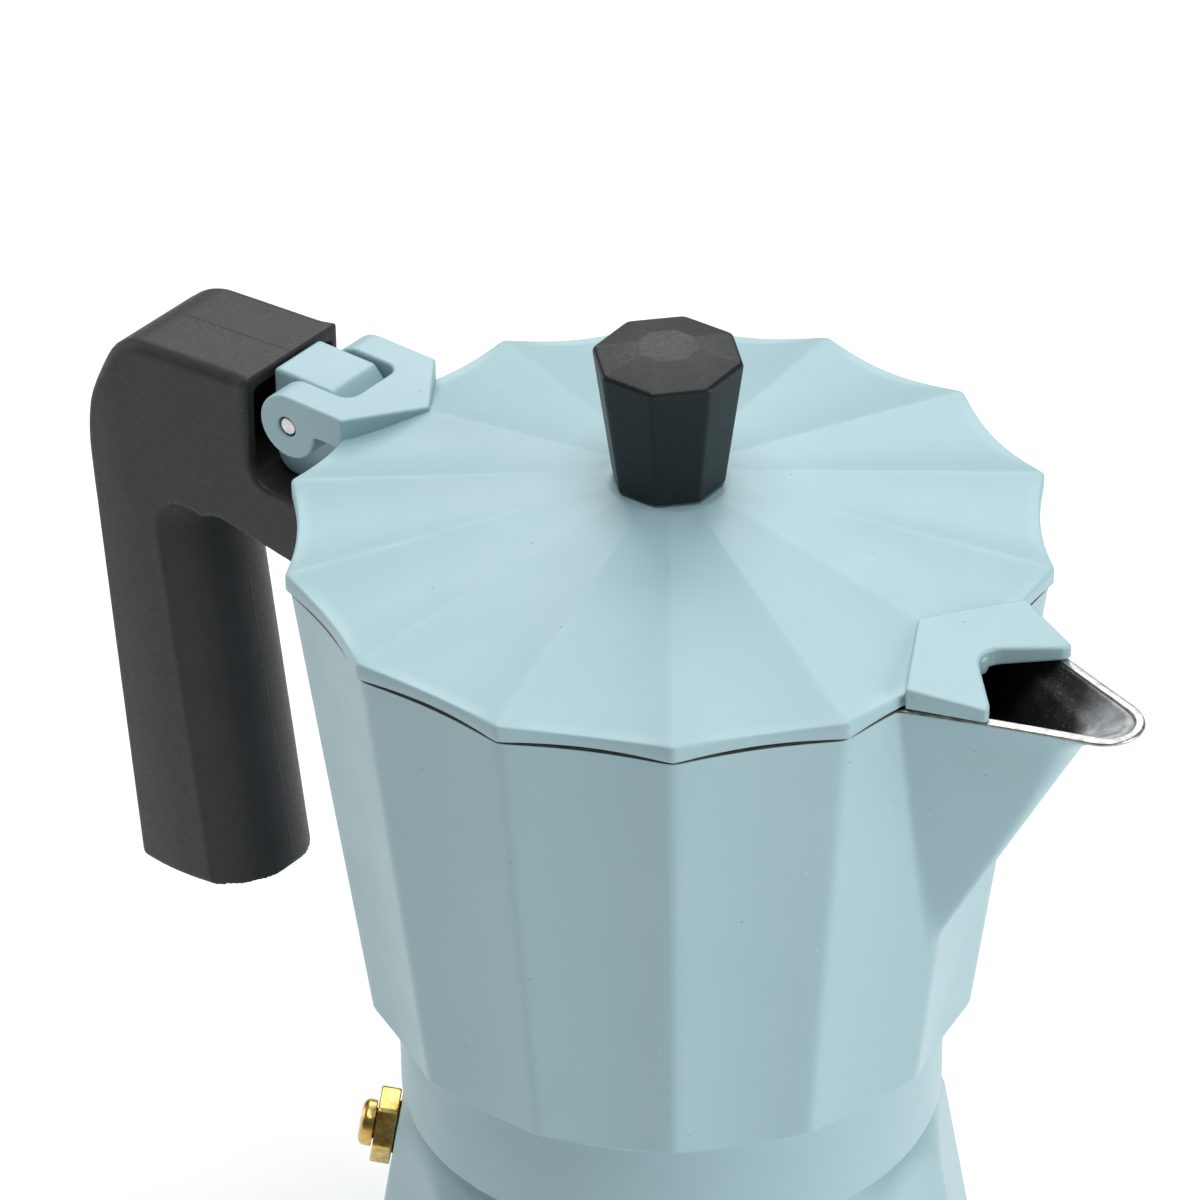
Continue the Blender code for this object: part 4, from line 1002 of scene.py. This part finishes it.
def pierced(name, path, reach, low, high, pitch, hole):
    """A turned disc pierced by small round holes on a triangular pattern, out to a reach."""
    disc = turned(name, path, SPUN)
    count = int(reach / pitch) + 2
    i, j = np.meshgrid(np.arange(-count, count + 1), np.arange(-count, count + 1))
    centres = np.stack([(i + j / 2).ravel() * pitch, j.ravel() * pitch * sqrt(3) / 2], -1)
    centres = centres[np.hypot(*centres.T) < reach]
    sides = 10
    turn = np.arange(sides) * tau / sides
    ring = np.stack([hole * np.cos(turn), hole * np.sin(turn)], -1)
    flat = centres[:, None] + ring
    levels = [np.concatenate([flat, np.full((*flat.shape[:2], 1), z)], -1) for z in (low - 1, high + 1)]
    points = np.concatenate([level.reshape(-1, 3) for level in levels])
    start = (np.arange(len(centres)) * sides)[:, None]
    k = np.arange(sides)
    bottom, over = start + k, start + k + len(centres) * sides
    after, over_after = start + (k + 1) % sides, start + (k + 1) % sides + len(centres) * sides
    walls = np.stack([bottom, after, over_after, over], -1).reshape(-1, 4)
    drill_faces = len(walls) + 2 * len(centres)
    drill = fill_mesh(name + "_drill", points, [walls, bottom[:, ::-1], over], [(SPUN, drill_faces)])
    step = disc.modifiers.new("holes", "BOOLEAN")
    step.object = drill
    step.solver = "EXACT"
    made = bpy.data.meshes.new_from_object(disc.evaluated_get(bpy.context.evaluated_depsgraph_get()))
    disc.modifiers.clear()
    disc.data = made
    made.set_sharp_from_angle(angle=radians(40))
    bpy.data.objects.remove(drill)
    return disc


def make_inside():
    low, high = box("funnel")
    flange, outer = high[0], NECK_BORE_R - 0.7
    top, foot = high[2], low[2]
    basket, cone = top - 26.0, top - 38.0
    wall, tube = 1.0, 3.8
    path = rounded(
        [
            (flange, top - 1, 0.3),
            (flange, top, 0.3),
            (outer - wall, top, 0.6),
            (outer - wall, basket + 0.5, 1.2),
            (tube - wall, cone + 0.5, 2.0),
            (tube - wall, foot, 0.2),
            (tube, foot, 0.2),
            (tube, cone, 3.0),
            (outer, basket, 2.2),
            (outer, top - 1, 0.3),
        ],
        closed=True,
    )
    show(turned("funnel_basket", path, SPUN, ring=True, steps=128), "funnel", "bare_aluminium", "funnel")
    low, high = box("funnel_strainer")
    low, high, radius = low[2], high[2], high[0]
    path = rounded([(0.3, low, 0), (radius, low, 0.2), (radius, high, 0.2), (0.3, high, 0)])
    strainer = pierced("funnel_sieve", path, radius - 3, low, high, 4.2, 0.75)
    show(strainer, "funnel", "bare_aluminium", "funnel_strainer")
    low, high = box("gasket")
    inner, outer, low, high = high[0] - 8.0, high[0], low[2], high[2]
    corners = [(outer, low), (outer, high), (inner, high), (inner, low)]
    path = rounded([(x, z, 0.5) for x, z in corners], closed=True)
    show(turned("sealing_ring", path, SILICONE, ring=True, steps=128), "seal", "white_silicone", "gasket")
    low, high = PLATE_LOW[2], PLATE_HIGH[2]
    thick, dish = 0.8, 26.8
    path = rounded(
        [
            (0.3, low, 0),
            (dish - thick, low, 0.6),
            (dish, high - thick, 0.5),
            (PLATE_HIGH[0], high - thick, 0.2),
            (PLATE_HIGH[0], high, 0.2),
            (dish, high, 0.6),
            (dish - thick, low + thick, 0.5),
            (0.3, low + thick, 0),
        ]
    )
    plate = pierced("filter_sieve", path, dish - 3.2, low, high, 3.6, 0.6)
    show(plate, "filter", "bare_aluminium", "filter_plate")


make_boiler()
make_valve()
make_inside()
make_chamber()
make_column_head()
make_lug()
make_lid()
make_beak()
make_fork()
make_pin()
make_knob()
make_handle()
for node in ("valve_spring", "knob_screw", "knob_washer", "handle_screw"):
    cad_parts[node].data.materials.clear()
    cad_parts[node].data.materials.append(STEEL)


# Floor, light and camera


def make_floor():
    mesh = bpy.data.meshes.new("floor")
    half = 6.0
    corners = [(-half, -half, 0), (half, -half, 0), (half, half, 0), (-half, half, 0)]
    mesh.from_pydata(corners, [], [(0, 1, 2, 3)])
    floor = bpy.data.objects.new("floor", mesh)
    white = Finish("pale_floor", 0.9)
    white.colour(white.mix(white.noise(300), (0.94, 0.94, 0.94), (0.96, 0.96, 0.96)))
    mesh.materials.append(white.material)
    bpy.context.collection.objects.link(floor)


def make_lamp(name, place, size, power, aim=(0, 0, 0.12)):
    """A square soft box that faces a point."""
    data = bpy.data.lights.new(name, "AREA")
    data.shape = "SQUARE"
    data.size = size
    data.energy = power
    lamp = bpy.data.objects.new(name, data)
    back = np.array(place) - aim
    back = back / np.linalg.norm(back)
    side = np.cross((0, 0, 1) if abs(back[2]) < 0.99 else (0, 1, 0), back)
    side = side / np.linalg.norm(side)
    turn = Matrix(np.stack([side, np.cross(back, side), back], -1).tolist()).to_4x4()
    lamp.matrix_world = Matrix.Translation(place) @ turn
    bpy.context.collection.objects.link(lamp)


def make_light():
    world = bpy.data.worlds.new("studio")
    world.use_nodes = True
    background = world.node_tree.nodes["Background"]
    background.inputs["Color"].default_value = (1, 1, 1, 1)
    background.inputs["Strength"].default_value = 0.13
    bpy.context.scene.world = world
    make_lamp("behind", (-0.75, 0.95, 1.25), 1.3, 16)
    make_lamp("overhead", (0.1, -0.1, 2.2), 1.6, 33)
    make_lamp("right_side", (1.5, 0.3, 0.5), 1.0, 15)
    make_lamp("left_side", (-1.4, -0.4, 0.5), 0.8, 4)
    settings = bpy.context.scene.view_settings
    settings.view_transform = "Standard"
    settings.look = "None"


def make_camera():
    """It looks down at the lid from the front right, turned a hair off the pot's axis."""
    azimuth, elevation, roll, pan, tilt = radians(38.16), radians(33.28), -0.0052, -0.0103, 0.0116
    distance = 0.9206
    back = np.array([sin(azimuth) * cos(elevation), -cos(azimuth) * cos(elevation), sin(elevation)])
    place = back * distance + (0, 0, EDGE_Z * MM)
    right = np.array([cos(azimuth), sin(azimuth), 0])
    up = np.cross(back, right)
    rows = np.array([cos(roll) * right + sin(roll) * up, cos(roll) * up - sin(roll) * right, back])
    panned = np.array([[cos(pan), 0, sin(pan)], [0, 1, 0], [-sin(pan), 0, cos(pan)]]) @ rows
    turn = np.array([[1, 0, 0], [0, cos(tilt), -sin(tilt)], [0, sin(tilt), cos(tilt)]]) @ panned
    data = bpy.data.cameras.new("camera")
    data.lens = 200.2
    data.sensor_width = 36
    camera = bpy.data.objects.new("camera", data)
    camera.matrix_world = Matrix.Translation(place) @ Matrix(turn.T.tolist()).to_4x4()
    bpy.context.collection.objects.link(camera)
    bpy.context.scene.camera = camera


make_floor()
make_light()
make_camera()
